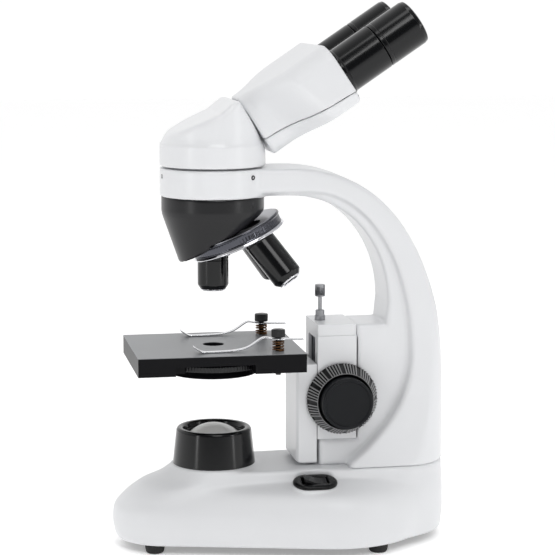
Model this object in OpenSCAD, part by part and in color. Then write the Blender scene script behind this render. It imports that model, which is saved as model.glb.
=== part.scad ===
// Binocular compound microscope with a C-shaped arm, a built-in lamp and coaxial focus knobs.
// Millimetres. +Z up, +X to the user's right hand as seen from the nose, -Y towards the nose.
// The origin is on the table, under the middle of the base.

/* [Base] */
// Depth of the base, nose to heel
base_depth = 245.2; // [244:0.2:247]
// Width of the base at its widest
base_width = 138; // [134:1:144]
// Height of the base's flat top above the table
base_top = 58; // [58:0.5:59]
// Height of the rubber feet below the base
foot_height = 6.5; // [5:0.5:7]
// Wall of the base moulding
base_wall = 2.6; // [2:0.1:3]

/* [Optics] */
// Distance of the optical axis in front of the origin
axis_y = -48; // [-48:0.5:-47]
// Diameter of the round arm head and of the binocular body above it
head_dia = 76; // [75:0.5:77]
// Tilt of the binocular head
head_tilt = 34; // [33:0.5:35]
// Distance between the two eyepieces
eye_distance = 62; // [61:0.5:62]
// Outer diameter of an eyepiece tube
eyetube_dia = 34; // [33:0.5:34.5]
// Tilt of the turret's axis from the optical axis
turret_tilt = 24; // [23.5:0.5:24.5]
// Length of the low, medium and high power objectives
objective_lengths = [25.4, 38.6, 43];

/* [Stage] */
// Width of the stage plate
stage_width = 100; // [98:1:102]
// Depth of the stage plate
stage_depth = 120; // [118:1:120]
// Height of the stage's top with the stage fully lowered
stage_top = 146.5; // [146:0.5:147]
// Diameter of the hole for the light
stage_hole = 15.5; // [15:0.5:17]
// Coarse focus travel
coarse_travel = 20; // [18:1:20]

/* [Focus] */
// Height of the knobs' axis
knob_z = 107.7; // [107.5:0.1:108]
// Diameter of a coarse knob
coarse_knob_dia = 53; // [52:0.5:53.5]
// Diameter of a fine knob
fine_knob_dia = 37; // [36:0.5:37.5]
// Module of the rack and of its two pinions
rack_module = 0.7; // [0.7:0.1:0.7]
// Teeth on each rack pinion
pinion_teeth = 16; // [16:1:16]
// Module of the fine focus gears
fine_module = 0.5; // [0.5:0.1:0.5]
// Teeth on the fine shaft's gear
fine_teeth = 12; // [12:1:12]
// Teeth on the cam's gear
cam_teeth = 44; // [44:1:44]
// Rise of the spiral cam, which is the fine focus travel
cam_rise = 2; // [1.6:0.1:2]

/* [Hidden] */
$fn = 96;
inf = 400;
side = [-1, 1];

white = [0.93, 0.93, 0.94];
black = [0.08, 0.08, 0.09];
steel = [0.74, 0.75, 0.77];
bronze = [0.62, 0.42, 0.24];
clear = [0.85, 0.9, 0.92, 0.5];

// Focus train
knob_y = 42.5;
pinion_r = rack_module * pinion_teeth / 2;
rack_line = knob_y - pinion_r;
fine_gear_r = fine_module * fine_teeth / 2;
cam_gear_r = fine_module * cam_teeth / 2;
cam_offset = (fine_gear_r + cam_gear_r) * sin(45);
cam_y = knob_y + cam_offset;
cam_z = knob_z - cam_offset;
cam_min = 5.4;
cam_sweep = 300;
shaft_r = 5;
fine_shaft_r = 1.7;
run = 0.05;
housing_half = 22;
housing_front = 25;
housing_back = 53.8;
pedestal_top = 77.5;
cap_bottom = 153.5;
cap_top = 162;
block_half = 17;
cavity_half = 8.6;
block_front = 28;
pin_r = 2;
cam_pin_z = cam_z - cam_min - pin_r - 0.2;
rod = [13.4, 34.2];
rod_r = 2.5;

// Stage and diaphragm
stage_thick = 13.5;
stage_bottom = stage_top - stage_thick;
stage_back = 11.5;
stage_front = stage_back - stage_depth;
pocket_top = 139.4;
disc_r = 37.5;
disc_pivot = [10, axis_y - 2];
disc_pitch = 10.2;
disc_holes = [12, 9, 7, 5, 3];
clip_post = [35, -6.5];

// Arm head, nosepiece, turret
head_r = head_dia / 2;
ring_bottom = 255.3;
ring_top = 275.5;
turret_apex = [0, axis_y, 265];
turret_angles = [0, 120, 240];
seat = 53;

// Binocular head
head_corner = [0, -6, 285];
head_length = 69.5;
head_height = 48;
head_wall = 2;
tube_v = 23.4;
tube_out = 31;

function bezier(p, t) =
  pow(1 - t, 3) * p[0] + 3 * pow(1 - t, 2) * t * p[1] + 3 * (1 - t) * t * t * p[2] + pow(t, 3) * p[3];
function curve(p, n = 20) = [for (i = [0:n]) bezier(p, i / n)];
function rot_point(p, a) = [p[0] * cos(a) - p[1] * sin(a), p[0] * sin(a) + p[1] * cos(a)];

// Stretches a side view, drawn as (Y, Z), along X and centres it
module along_x(w) rotate([90, 0, 90]) linear_extrude(height = w, center = true) children();

// Cylinder along X that starts at x and is centred on (y, z)
module rod_x(x, y, z, r, l) translate([x, y, z]) rotate([0, 90, 0]) cylinder(r = r, h = l);

module box(x, y, z) translate([x[0], y[0], z[0]]) cube([x[1] - x[0], y[1] - y[0], z[1] - z[0]]);

// Involute-like gear outline: trapezoid teeth with rounded proportions, tooth on the +X axis
function gear_points(m, teeth, thin = 0) = [
  for (i = [0:teeth - 1], k = [0:5])
    let (r = m * teeth / 2,
         radii = [r - 1.25 * m, r - 0.6 * m, r + m, r + m, r - 0.6 * m, r - 1.25 * m],
         half = [0.36, 0.31, 0.125, 0.125, 0.31, 0.36][k] - thin,
         a = 360 / teeth * (i + half * (k < 3 ? -1 : 1)))
    [radii[k] * cos(a), radii[k] * sin(a)]
];

// ---------- Base ----------

// Layers of the skirt and of the raised deck: height, nose circle's Y and radius, radius of the
// middle circle, radius of the heel circle, set-back of the heel
skirt_layers = [
  [foot_height, -83.6, 35.8, 65.8, 42, 3.2], [13, -83.6, 37.6, 67.6, 44, 1.4], [21, -83.6, 39, 69, 45, 0],
  [31, -83, 38, 68, 45, 0], [38.2, -78.5, 34.5, 66.2, 44.5, 0.4], [43, -75, 31.5, 62.5, 43.5, 1],
  [46.4, -72, 29.5, 57, 42, 1.6], [51.2, -60, 22, 37, 40, 3]
];
deck_layers = [
  [38, -80, 33, 42, 42, 0.5], [45.8, -68, 34, 39, 40, 0.5], [51.6, -56, 33, 37, 39.4, 0.2],
  [base_top, -48, 31.6, 35, 38.6, 0]
];

module base_layer(l, wall) {
  drop = l[0] > 35 ? wall : (l[0] == foot_height && wall > 0) ? 1 : 0.01;
  translate([0, 0, l[0] - max(drop, 0.01)]) {
    translate([0, l[1], 0]) cylinder(r = l[2] - wall, h = 0.01, $fn = 32);
    translate([0, 40, 0]) cylinder(r = l[3] * base_width / 138 - wall, h = 0.01, $fn = 40);
    translate([0, base_depth / 2 - l[4] - l[5], 0]) cylinder(r = l[4] - wall, h = 0.01, $fn = 32);
  }
}

module base_body(wall = 0) {
  hull() for (l = skirt_layers) base_layer(l, wall);
  hull() for (l = deck_layers) base_layer(l, wall);
}

module oval(r, h) hull() for (e = side) translate([0, e * 5.4, 0]) cylinder(r = r, h = h, $fn = 48);

module base_shell() color(white) difference() {
  union() {
    base_body();
    // Boss under the lamp
    translate([0, axis_y, 46]) cylinder(r = 31.6, h = base_top + 0.6 - 46);
    switch_place() translate([0, 0, -4]) oval(10.8, 4);
  }
  difference() {
    base_body(base_wall);
    // Posts for the plate's screws
    for (s = side, y = [-82, 58]) translate([s * (y < 0 ? 17 : 40), y, foot_height + 2])
      cylinder(r = 4, h = 60);
  }
  // Pocket that lets the bezel into the side of the deck
  switch_place() oval(11, 9);
  // Light well
  translate([0, axis_y, 30]) cylinder(r = 22, h = 60);
  // Switch opening
  switch_place() translate([0, 0, -12]) cube([13.2, 21.8, 40], center = true);
  // Power socket
  translate([0, 90, 20]) rotate([-90, 0, 0]) cylinder(r = 5.05, h = 60);
  for (s = side, y = [-82, 58]) translate([s * (y < 0 ? 17 : 40), y, 0]) cylinder(r = 1.5, h = 22);
}

module plate_outline(inset) hull() {
  translate([0, -base_depth / 2 + 39]) circle(r = 39 - inset);
  translate([0, 40]) circle(r = base_width / 2 - inset);
  translate([0, base_depth / 2 - 44]) circle(r = 44 - inset - 2);
}

module base_plate() color(black) difference() {
  translate([0, 0, foot_height]) linear_extrude(height = 2) plate_outline(7.6);
  for (s = side, y = [-82, 58]) translate([s * (y < 0 ? 17 : 40), y, 0]) cylinder(r = 1.7, h = 20);
}

feet = [[25, -95], [-25, -95], [51, 64], [-51, 64]];

module rubber_feet() color(black) for (f = feet) translate([f[0], f[1], 0])
  rotate_extrude() polygon([[0, 0], [6.2, 0], [7.2, 1], [7.5, foot_height], [0, foot_height]]);

module plate_screws() color(steel) for (s = side, y = [-82, 58])
  translate([s * (y < 0 ? 17 : 40), y, foot_height - 2]) {
    cylinder(r = 3, h = 2);
    cylinder(r = 1.5, h = 17);
  }

module lamp_housing() color(black) translate([0, axis_y, 0]) rotate_extrude() polygon([
  [16, base_top + 0.6], [30.2, base_top + 0.6], [27.4, 83.6], [26.6, 85.1], [25.6, 85.6], [23.6, 85.6],
  [22.6, 85.1], [21.6, 82.6], [21.6, 76.6], [16, 76.6]
]);

module collector_lens() color(clear) translate([0, axis_y, 0]) rotate_extrude()
  polygon(concat([[0, 76.6], [21.5, 76.6], [21.5, 79.2]],
                 [for (i = [0:10]) let (a = 90 - 47.7 * (1 - i / 10)) [26.5 * cos(a), 61.6 + 26.5 * sin(a)]]));

module lens_ring() color(black) translate([0, axis_y, 79.2]) rotate_extrude()
  polygon([[19.6, 0.3], [21.5, 0.01], [21.5, 2.6], [20.9, 2.6]]);

module led_module() color([0.95, 0.9, 0.5]) translate([0, axis_y, 50]) {
  cylinder(r = 10, h = 1.6);
  translate([0, 0, 1.6]) cylinder(r1 = 4, r2 = 2.5, h = 3);
}

module heat_sink() color(steel) translate([0, axis_y, 28]) difference() {
  cylinder(r = 21, h = 22);
  for (i = [-3:3]) translate([i * 5.6 - 1.3, -inf / 2, -1]) cube([2.6, inf, 17]);
}

module driver_board() color([0.1, 0.35, 0.2]) {
  box([-30, 18], [20, 66], [12, 13.6]);
  box([-24, -12], [28, 40], [13.6, 24]);
  box([-4, 8], [46, 58], [13.6, 20]);
}

module dc_socket() color(black) translate([0, 0, 20]) rotate([-90, 0, 0]) difference() {
  union() {
    translate([0, 0, 108]) cylinder(r = 5, h = 14);
    translate([-6, -7, 98]) cube([12, 13, 12]);
  }
  translate([0, 0, 112]) cylinder(r = 2.75, h = 20);
}

// ---------- Power switch on the right shoulder ----------

module switch_place() translate([43, 19, 50.2]) rotate([0, 13, 0]) children();

module switch_bezel() color(black) switch_place() difference() {
  union() {
    oval(10.8, 1.6);
    oval(10, 2.4);
    translate([-6.5, -10.8, -11]) cube([13, 21.6, 12]);
  }
  translate([-5.2, -9.6, -9]) cube([10.4, 19.2, 30]);
  rod_x(-6, 0, 0, 1 + run, 12);
}

module switch_rocker() color(black) switch_place() {
  along_x(9.8) polygon([[-8.2, -2], [-8.2, 5.4], [-5.4, 4.6], [0, 2.2], [5.2, 1.5], [8.2, 1.9], [8.2, -2],
                        [3, -6.5], [-3, -6.5]]);
  rod_x(-5.9, 0, 0, 1, 11.8);
}

// ---------- Arm ----------

foot_half = 38;
arm_outer = [[5, ring_top], [74.9, ring_top], [122.6, 218.7], [122.6, 75]];
arm_inner = [[2.8, 256], [53.7, 256], [77, 212.4], [77, 177]];
arm_crease = [[20, 258], [59, 258], [93.5, 209.2], [93.5, 140]];
arm_crease_low = [[93.5, 140], [93.5, 103.8], [68.6, 77.7], [47.7, 62.1]];

module arm() color(white) difference() {
  intersection() {
    union() {
      // Web and lower body
      along_x(2 * housing_half) polygon(concat(curve(arm_inner), [[75.4, cap_top - 0.6],
        [housing_back, cap_top - 0.6], [housing_back, pedestal_top], [26.5, pedestal_top],
        [26.5, base_top], [120, base_top]],
        [for (i = [20:-1:0]) bezier(arm_outer, i / 20) - [2, 1]], [[axis_y, ring_top - 1], [axis_y, 256]]));
      // Broad outer flange, from the head down the back and forward under the web
      along_x(80) polygon(concat(curve(arm_crease), curve(arm_crease_low), [[43, base_top],
        [122.6, base_top]], [for (i = [20:-1:0]) bezier(arm_outer, i / 20)], [[axis_y, ring_top], [axis_y, 258]]));
      translate([0, axis_y, ring_bottom]) cylinder(r = head_r, h = ring_top - ring_bottom);
    }
    // Round heel of the foot, flush with the base below it
    translate([0, 0, 50]) linear_extrude(height = inf) {
      translate([-inf / 2, axis_y - inf / 2 - 38]) square([inf, inf / 2]);
      translate([-foot_half, axis_y - 38]) square([2 * foot_half, base_depth / 2 - foot_half - axis_y + 38]);
      translate([0, base_depth / 2 - foot_half]) circle(r = foot_half);
    }
    // Widths as seen from the back: wider towards the foot
    union() {
      translate([0, 0, 0]) rotate([90, 0, 0]) linear_extrude(height = 2 * inf, center = true)
        polygon(concat([[-38, 40], [38, 40]], curve([[38, 58], [33, 75], [28, 100], [27, 150]], 8),
                       curve([[27, 150], [27, 200], [26, 240], [26, 290]], 6),
                       curve([[-26, 290], [-26, 240], [-27, 200], [-27, 150]], 6),
                       curve([[-27, 150], [-28, 100], [-33, 75], [-38, 58]], 8)));
      translate([0, axis_y, ring_bottom]) cylinder(r = head_r, h = ring_top - ring_bottom);
    }
  }
  // Light path through the ring
  translate([0, axis_y, 200]) cylinder(r = 30, h = 100);
  // Pocket for the fine focus gear behind the housing
  box([-19.4, 19.4], [housing_back - 30, 70], [pedestal_top, cap_bottom - 2.5]);
  // Core of the casting, open at the bottom
  box([-19, 19], [73, 98], [0, 150]);
  box([-19, 19], [30, 98], [0, pedestal_top - 4]);
  for (a = [40, 160, 280]) set_screw_place(a) cylinder(r = 1.55, h = 20);
}

module set_screw_place(a) translate([0, axis_y, 270]) rotate([0, 0, a]) translate([head_r - 6.4, 0, 0])
  rotate([0, 90, 0]) children();

module arm_set_screws() color(steel) for (a = [40, 160, 280]) set_screw_place(a) cylinder(r = 1.5, h = 6);

// ---------- Focus housing and fine focus block ----------

module focus_housing() color(white) difference() {
  box([-housing_half, housing_half], [housing_front, housing_back], [pedestal_top, cap_bottom]);
  box([-19.4, 19.4], [housing_front + 2.4, inf], [pedestal_top - 1, cap_bottom + 1]);
  // Front opening for the slide
  box([-12.2, 12.2], [0, 40], [pedestal_top - 1, 151]);
  // Slots for the coarse shafts, long enough for the fine travel
  for (z = [knob_z, knob_z + cam_rise]) rod_x(-inf / 2, knob_y, z, shaft_r + 0.8, inf);
}

module housing_cap() color(white) difference() {
  union() {
    box([-housing_half, housing_half], [24.7, housing_back - 0.4], [cap_bottom, cap_top]);
    box([-8, 8], [50.6, housing_back - 0.4], [cap_bottom - 2.4, cap_bottom]);
  }
  translate([0, 31, 140]) cylinder(r = 1.6, h = 40);
}

module fine_guide_rods() color(steel) for (s = side) translate([s * rod[0], rod[1], pedestal_top])
  cylinder(r = rod_r, h = cap_bottom - pedestal_top);

module cam_stop_pin() color(steel) rod_x(2.3, cam_y, cam_pin_z, pin_r, 17.1);

module dovetail(grow = 0) polygon([
  [-7.6 - grow, 24.4], [7.6 + grow, 24.4], [7.6 + grow, 28.6 - grow], [10.6 + 2 * grow, 31.4 + grow],
  [-10.6 - 2 * grow, 31.4 + grow], [-7.6 - grow, 28.6 - grow]
]);

module fine_block() color(steel) difference() {
  union() {
    box([-block_half, block_half], [block_front, 49], [knob_z - 23, 150]);
    box([-block_half + 2, block_half - 2], [40, 60], [cam_z - 4.4, knob_z + 10]);
  }
  // Cavity for the racks, pinions and gears, open at the bottom
  box([-cavity_half, cavity_half], [30, 70], [60, 126]);
  box([-cavity_half, cavity_half], [30, 38.6], [60, 160]);
  // Dovetail groove for the slide
  translate([0, 0, 50]) linear_extrude(height = 120) dovetail(0.12);
  // Bearings for the coarse shafts
  rod_x(-inf / 2, knob_y, knob_z, shaft_r + run, inf);
  rod_x(-14, cam_y, cam_z, 2.5, 28);
  // Bores for the guide rods
  for (s = side) translate([s * rod[0], rod[1], 50]) cylinder(r = rod_r + run, h = 130);
}

module cam_axle() color(steel) rod_x(-14, cam_y, cam_z, 2.5, 28);

// Hollow shaft with its rack pinion; s is the side it leaves the housing on
module coarse_shaft(s) color(steel) mirror([s < 0 ? 1 : 0, 0, 0]) difference() {
  union() {
    rod_x(3, knob_y, knob_z, shaft_r - 0.6, 6);
    rod_x(9, knob_y, knob_z, shaft_r, 24);
    translate([3.2, knob_y, knob_z]) rotate([90, 0, 90])
      linear_extrude(height = 5) rotate(180) polygon(gear_points(rack_module, pinion_teeth, 0.012));
  }
  rod_x(0, knob_y, knob_z, fine_shaft_r + run, 60);
}
module coarse_shaft_left() coarse_shaft(-1);
module coarse_shaft_right() coarse_shaft(1);

// Ribbed knob that tapers outwards, open in front to take the fine knob
module coarse_knob(s) color(black) mirror([s < 0 ? 1 : 0, 0, 0]) translate([0, knob_y, knob_z])
  rotate([90, 0, 90]) difference() {
    union() {
      translate([0, 0, 24]) cylinder(r1 = coarse_knob_dia / 2 - 0.9, r2 = 20.6, h = 13.6);
      for (i = [0:71]) if (i % 6 != 0) rotate([90, 0, i * 5]) linear_extrude(height = 1.1, center = true)
        polygon([[23, 24.6], [coarse_knob_dia / 2 - 0.05, 24.6], [21.2, 37], [20, 37]]);
    }
    translate([0, 0, 20]) cylinder(r = shaft_r, h = 20);
    translate([0, 0, 31]) cylinder(r = fine_knob_dia / 2 + 0.9, h = 20);
  }
module coarse_knob_left() coarse_knob(-1);
module coarse_knob_right() coarse_knob(1);

module fine_shaft() color(steel) {
  rod_x(-43, knob_y, knob_z, fine_shaft_r, 86);
  translate([-2.2, knob_y, knob_z]) rotate([90, 0, 90]) linear_extrude(height = 4.4)
    rotate(-45) polygon(gear_points(fine_module, fine_teeth, 0.02));
}

module fine_knob(s) color([0.16, 0.16, 0.17]) mirror([s < 0 ? 1 : 0, 0, 0])
  translate([0, knob_y, knob_z]) rotate([90, 0, 90]) difference() {
    rotate_extrude() polygon([
      [0, 33.6], [8, 33.6], [8, 34.6], [fine_knob_dia / 2 - 1, 34.6], [fine_knob_dia / 2, 36], [fine_knob_dia / 2, 44.4],
      [fine_knob_dia / 2 - 1, 46], [fine_knob_dia / 2 - 2.4, 46], [fine_knob_dia / 2 - 3, 45], [0, 45]
    ]);
    cylinder(r = fine_shaft_r, h = 43);
  }
module fine_knob_left() fine_knob(-1);
module fine_knob_right() fine_knob(1);

// Reduction gear with its spiral cam, which rides on the fixed pin below it
module cam_gear() color(bronze) translate([0, cam_y, cam_z]) rotate([90, 0, 90]) difference() {
  union() {
    translate([0, 0, -1.8]) linear_extrude(height = 3.6)
      rotate(135 + 180 / cam_teeth) polygon(gear_points(fine_module, cam_teeth, 0.02));
    translate([0, 0, 1.8]) linear_extrude(height = 5) polygon([
      for (i = [0:60]) let (a = i * 6, r = cam_min - 0.05 + cam_rise * min(1, max(0, (a - 8) / cam_sweep)))
        rot_point([r * (a > 322 ? 1 - (r - cam_min) / r * (a - 322) / 38 : 1), 0], -90 + a)
    ]);
    translate([0, 0, -6]) cylinder(r = 4, h = 8);
  }
  translate([0, 0, -20]) cylinder(r = 2.5 + run, h = 40);
}

// ---------- Carriage and stage ----------

module carriage() color(white) difference() {
  hull() {
    box([-housing_half + 2, housing_half - 2], [9.3, 24.4], [62, stage_bottom]);
    box([-housing_half, housing_half], [11, 24.4], [61, stage_bottom]);
    box([-housing_half + 1, housing_half - 1], [14, 24.4], [60, 64]);
  }
  // Blind holes for the screws of the slide
  for (s = side, z = [84, 112]) translate([s * 4.4, 14, z]) rotate([-90, 0, 0]) cylinder(r = 1.6, h = 12);
}

module dovetail_slide() color(steel) translate([0, 0, 78]) linear_extrude(height = 51) dovetail();

module focus_rack() color(bronze) for (s = side) mirror([s < 0 ? 1 : 0, 0, 0])
  translate([3.4, 0, 0]) rotate([90, 0, 90]) linear_extrude(height = 4.6) polygon(concat(
    [[31.4, 81], [31.4, 118]],
    [for (i = [0:15], k = [0:3]) let (pitch = PI * rack_module,
       z = knob_z + pitch * (4.5 - i) - pitch * [-0.36, -0.14, 0.14, 0.36][k] * 0.92)
      [rack_line + rack_module * [-1.25, 0.9, 0.9, -1.25][k], z]]
  ));

module stage_plate() color([0.36, 0.37, 0.38]) difference() {
  box([-stage_width / 2, stage_width / 2], [stage_front, stage_back], [stage_bottom, stage_top]);
  translate([0, axis_y, 100]) cylinder(r = stage_hole / 2, h = 100);
  // Pocket underneath for the disc, open on the right side
  translate([disc_pivot[0], disc_pivot[1], stage_bottom - 1]) cylinder(r = disc_r + 1, h = pocket_top - stage_bottom + 1);
  box([40, stage_width], [-82, -25.4], [stage_bottom - 1, pocket_top]);
  for (s = side) translate([s * clip_post[0], clip_post[1], 100]) cylinder(r = 2.05, h = 100);
  for (s = side, y = [15, 19]) translate([s * 14, y, 0]) cylinder(r = 1, h = 1);
  translate([disc_pivot[0], disc_pivot[1], 100]) cylinder(r = 1.5, h = 41.5);
  for (s = side) translate([s * 12, 2, 0]) cylinder(r = 2, h = stage_top - 4);
}

module stage_screws() color(steel) for (s = side) translate([s * 12, 2, stage_bottom - 3]) {
  cylinder(r = 2, h = 12.4);
  translate([0, 0, -3]) cylinder(r = 3.4, h = 3);
}

module diaphragm_disc() color(black) translate([disc_pivot[0], disc_pivot[1], 0]) difference() {
  union() {
    translate([0, 0, 134.2]) cylinder(r = disc_r - 1.4, h = 4);
    translate([0, 0, 128.6]) cylinder(r = 32, h = 5.8);
    for (i = [0:59]) rotate(i * 6) translate([disc_r - 2, -0.9, 134.2]) cube([2, 1.8, 4]);
  }
  translate([0, 0, 127]) cylinder(r = 29.5, h = 6);
  translate([0, 0, 120]) cylinder(r = 2.05, h = 30);
  for (i = [0:4]) rotate(169 + i * 72) translate([disc_pitch, 0, 120]) cylinder(r = disc_holes[i] / 2, h = 30);
}

module diaphragm_screw() color(steel) translate([disc_pivot[0], disc_pivot[1], 0]) {
  translate([0, 0, 131]) cylinder(r = 4, h = 1.6);
  translate([0, 0, 132.4]) cylinder(r = 2, h = pocket_top - 132.4);
  translate([0, 0, pocket_top - 0.2]) cylinder(r = 1.5, h = 2);
}

// Spring-steel clip bent along Y, pivoting round its post
module stage_clip(s) color(steel) difference() {
  translate([s * clip_post[0], 0, 0]) union() {
    along_x(5) polygon([
      [11.5, 153.8], [11.5, 154.8], [-1, 155.4], [-11.6, 156.1], [-16.5, 157.1], [-19, 156.2], [-27.6, 150.8], [-41, 147.9],
      [-57, 147.6], [-61, 147.9], [-67, 151.4], [-67.6, 150.6], [-61.4, 146.9], [-57, 146.6], [-41, 146.9],
      [-27, 149.8], [-18.4, 155.2], [-16.2, 156], [-12, 155.1], [-1, 154.4]
    ]);
    translate([0, clip_post[1], 154.3]) cylinder(r = 5, h = 1.2);
  }
  translate([s * clip_post[0], clip_post[1], 140]) cylinder(r = 2.06, h = 30);
}
module clip_left() stage_clip(-1);
module clip_right() stage_clip(1);

module clip_springs() color(bronze) for (s = side) translate([s * clip_post[0], clip_post[1], stage_top])
  for (i = [0:4]) translate([0, 0, 0.5 + i * 1.64]) rotate_extrude() translate([4, 0]) circle(r = 0.5, $fn = 16);

module clip_posts() color(black) for (s = side) translate([s * clip_post[0], clip_post[1], 0]) {
  translate([0, 0, stage_bottom - 4]) cylinder(r = 2, h = 30);
  translate([0, 0, stage_bottom - 2.6]) cylinder(r = 3.4, h = 2.6, $fn = 6);
  translate([0, 0, 156.4]) cylinder(r = 4.6, h = 5.8);
  for (i = [0:23]) rotate(i * 15) translate([4, -0.35, 156.8]) cube([1, 0.7, 5]);
}

module stop_lock_nut() color(steel) translate([0, 31, cap_top]) difference() {
  cylinder(r = 3.85, h = 7.5);
  translate([0, 0, -1]) cylinder(r = 1.6, h = 10);
}

module stop_screw() color(steel) translate([0, 31, 0]) {
  translate([0, 0, 152.4]) cylinder(r = 1.55, h = 30);
  translate([0, 0, 179.5]) cylinder(r = 3.3, h = 8.9);
  for (i = [0:17]) rotate(i * 20) translate([2.8, -0.3, 180]) cube([0.95, 0.6, 8]);
}

// ---------- Nosepiece and turret ----------

module nosepiece_shell() color(black) difference() {
  translate([0, axis_y, 0]) difference() {
    union() {
      translate([0, 0, 245]) cylinder(r = 37, h = ring_bottom - 245);
      translate([0, 0, 205]) cylinder(r1 = 23.6, r2 = 37, h = 38);
      translate([0, 0, 242.9]) cylinder(r = 37, h = 3);
    }
    translate([0, 0, 246]) cylinder(r = 33.6, h = 4);
  }
  // Sloping mouth, and room for the turret to turn under it
  along_x(100) polygon([[-100, 190.1], [10, 258.6], [10, 150], [-100, 150]]);
  turret_place() translate([0, 0, -37.4 - 60]) cylinder(r = 36.2, h = 60);
  // Light path
  translate([0, axis_y, 200]) cylinder(r = 12, h = 100);
  turret_place() translate([0, 0, -60]) cylinder(r = 3 + run, h = 52);
}

// Moves to the turret's apex with +Z up its tilted axis
module turret_place() translate(turret_apex) rotate([turret_tilt, 0, 0]) children();

// Moves to the seat of objective i, with -Z towards its tip
module objective_place(i) turret_place() rotate([0, 0, turret_angles[i]]) rotate([-turret_tilt, 0, 0])
  translate([0, 0, -seat]) children();

module turret() color(black) difference() {
  union() {
    turret_place() translate([0, 0, -47.5]) cylinder(r = 33.2, h = 10);
    for (i = [0:2]) objective_place(i) cylinder(r = 12.6, h = 12);
  }
  turret_place() translate([-inf / 2, -inf / 2, -37.5]) cube(inf);
  for (i = [0:2]) objective_place(i) {
    translate([0, 0, -1]) cylinder(r = 9.6, h = 40);
    // Seat for the objective's shoulder
    translate([0, 0, -20]) cylinder(r = 11.4, h = 20);
  }
  turret_place() translate([0, 0, -70]) cylinder(r = 3.06, h = 60);
}

module turret_grip() color(steel) turret_place() difference() {
  union() {
    translate([0, 0, -46.9]) cylinder(r = 34.6, h = 8.9);
    for (i = [0:89]) rotate(i * 4) translate([34, -0.6, -45.4]) cube([1.1, 1.2, 7]);
  }
  translate([0, 0, -60]) cylinder(r = 33.2, h = 60);
}

module turret_screw() color(steel) turret_place() {
  translate([0, 0, -50]) cylinder(r = 7, h = 2.4);
  translate([0, 0, -48]) cylinder(r = 3, h = 36);
}

module objective(i, r, tip_r) color(black) objective_place(i) difference() {
  rotate_extrude() polygon([
    [0, 7.6], [9.5, 7.6], [9.5, 0], [r, 0], [r, -objective_lengths[i] + 4], [r - 0.6, -objective_lengths[i] + 2.6],
    [tip_r + 0.8, -objective_lengths[i]], [tip_r, -objective_lengths[i]], [tip_r - 0.6, -objective_lengths[i] + 1.2],
    [0, -objective_lengths[i] + 1.2]
  ]);
  translate([0, 0, -10]) cylinder(r = 6, h = 40);
}
module objective_low() objective(0, 11.2, 7.4);
module objective_medium() objective(1, 11.2, 6.6);
module objective_high() objective(2, 11.2, 5.6);

// ---------- Binocular head ----------

module head_place() translate(head_corner) rotate([head_tilt, 0, 0]) children();

// Plan of the inclined housing: narrow behind, wide in front; y runs along the tubes
function head_plan(inset) = let (front = head_length + (inset > 0 ? 1 : 0)) concat(
  curve([[24 - inset, inset > 0 ? inset : 0], [27 - inset, 22], [50 - inset, 18], [51 - inset, 42]], 12),
  [[51 - inset, front], [-51 + inset, front]],
  curve([[-51 + inset, 42], [-50 + inset, 18], [-27 + inset, 22], [-24 + inset, inset > 0 ? inset : 0]], 12)
);

module head_solid(inset = 0) intersection() {
  translate([0, 0, inset]) linear_extrude(height = head_height - 2 * inset) polygon(head_plan(inset));
  // Softened long edges as seen along the tubes
  rotate([90, 0, 0]) translate([0, 0, -inf / 2]) linear_extrude(height = inf) hull()
    for (x = side, z = [12, head_height - 14])
      translate([x * (51 - (z > 20 ? 14 : 12)), z]) circle(r = (z > 20 ? 14 : 12) - inset);
}

module parting(grow) along_x(200) polygon([[-90, 14 - grow], [0, 14 - grow], [90, 7.6 - grow], [90, -60], [-90, -60]]);

module head_body() color(white) difference() {
  union() {
    translate([0, axis_y, 277]) cylinder(r = head_r, h = 16);
    translate([0, axis_y, 293]) cylinder(r1 = head_r, r2 = head_r - 1.6, h = 4);
    intersection() {
      translate([0, axis_y, 296]) cylinder(r = head_r - 1.6, h = 40);
      along_x(120) polygon([[-86, 290], [-84.4, 297], [-78.7, 301.3], [-47, 315.5], [-37, 324], [-33.2, 324], [-6.6, 285], [0, 280],
                            [-86, 280]]);
    }
    translate([0, axis_y, 272.5]) cylinder(r = 29.9, h = 5);
  }
  translate([0, axis_y, 270]) cylinder(r = 22, h = 30);
  head_place() head_solid();
}

module head_upper_shell() color(white) head_place() difference() {
  head_solid();
  difference() {
    head_solid(head_wall);
    box([-60, 60], [-10, head_wall], [0, 60]);
  }
  parting(-0.25);
}

module head_lower_cover() color(white) head_place() difference() {
  intersection() {
    head_solid();
    parting(0.25);
  }
  difference() {
    head_solid(head_wall);
    box([-60, 60], [-10, head_wall], [0, 60]);
  }
  // Light path from the body
  translate([0, 12, -5]) cylinder(r = 8, h = 20);
}

module head_front_plate() color(black) head_place() difference() {
  translate([0, head_length - 8, 0]) intersection() {
    box([-48.4, 48.4], [0, 3], [head_wall + 0.6, head_height - head_wall - 0.6]);
    rotate([90, 0, 0]) translate([0, 0, -20]) linear_extrude(height = 40) hull()
      for (x = side, z = [14, head_height - 14]) translate([x * 36, z]) circle(r = 11.4);
  }
  for (s = side) hull() for (x = [tube_out - 4.6, tube_out + 1.6])
    translate([s * x, head_length + 10, tube_v]) rotate([90, 0, 0]) cylinder(r = 14, h = 40, $fn = 32);
}

module prism_set() color(clear) head_place() {
  box([-10, 10], [14, 34], [14, 38]);
  for (s = side) box(s < 0 ? [-34, -12] : [12, 34], [28, 48], [16, 37]);
}

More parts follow.
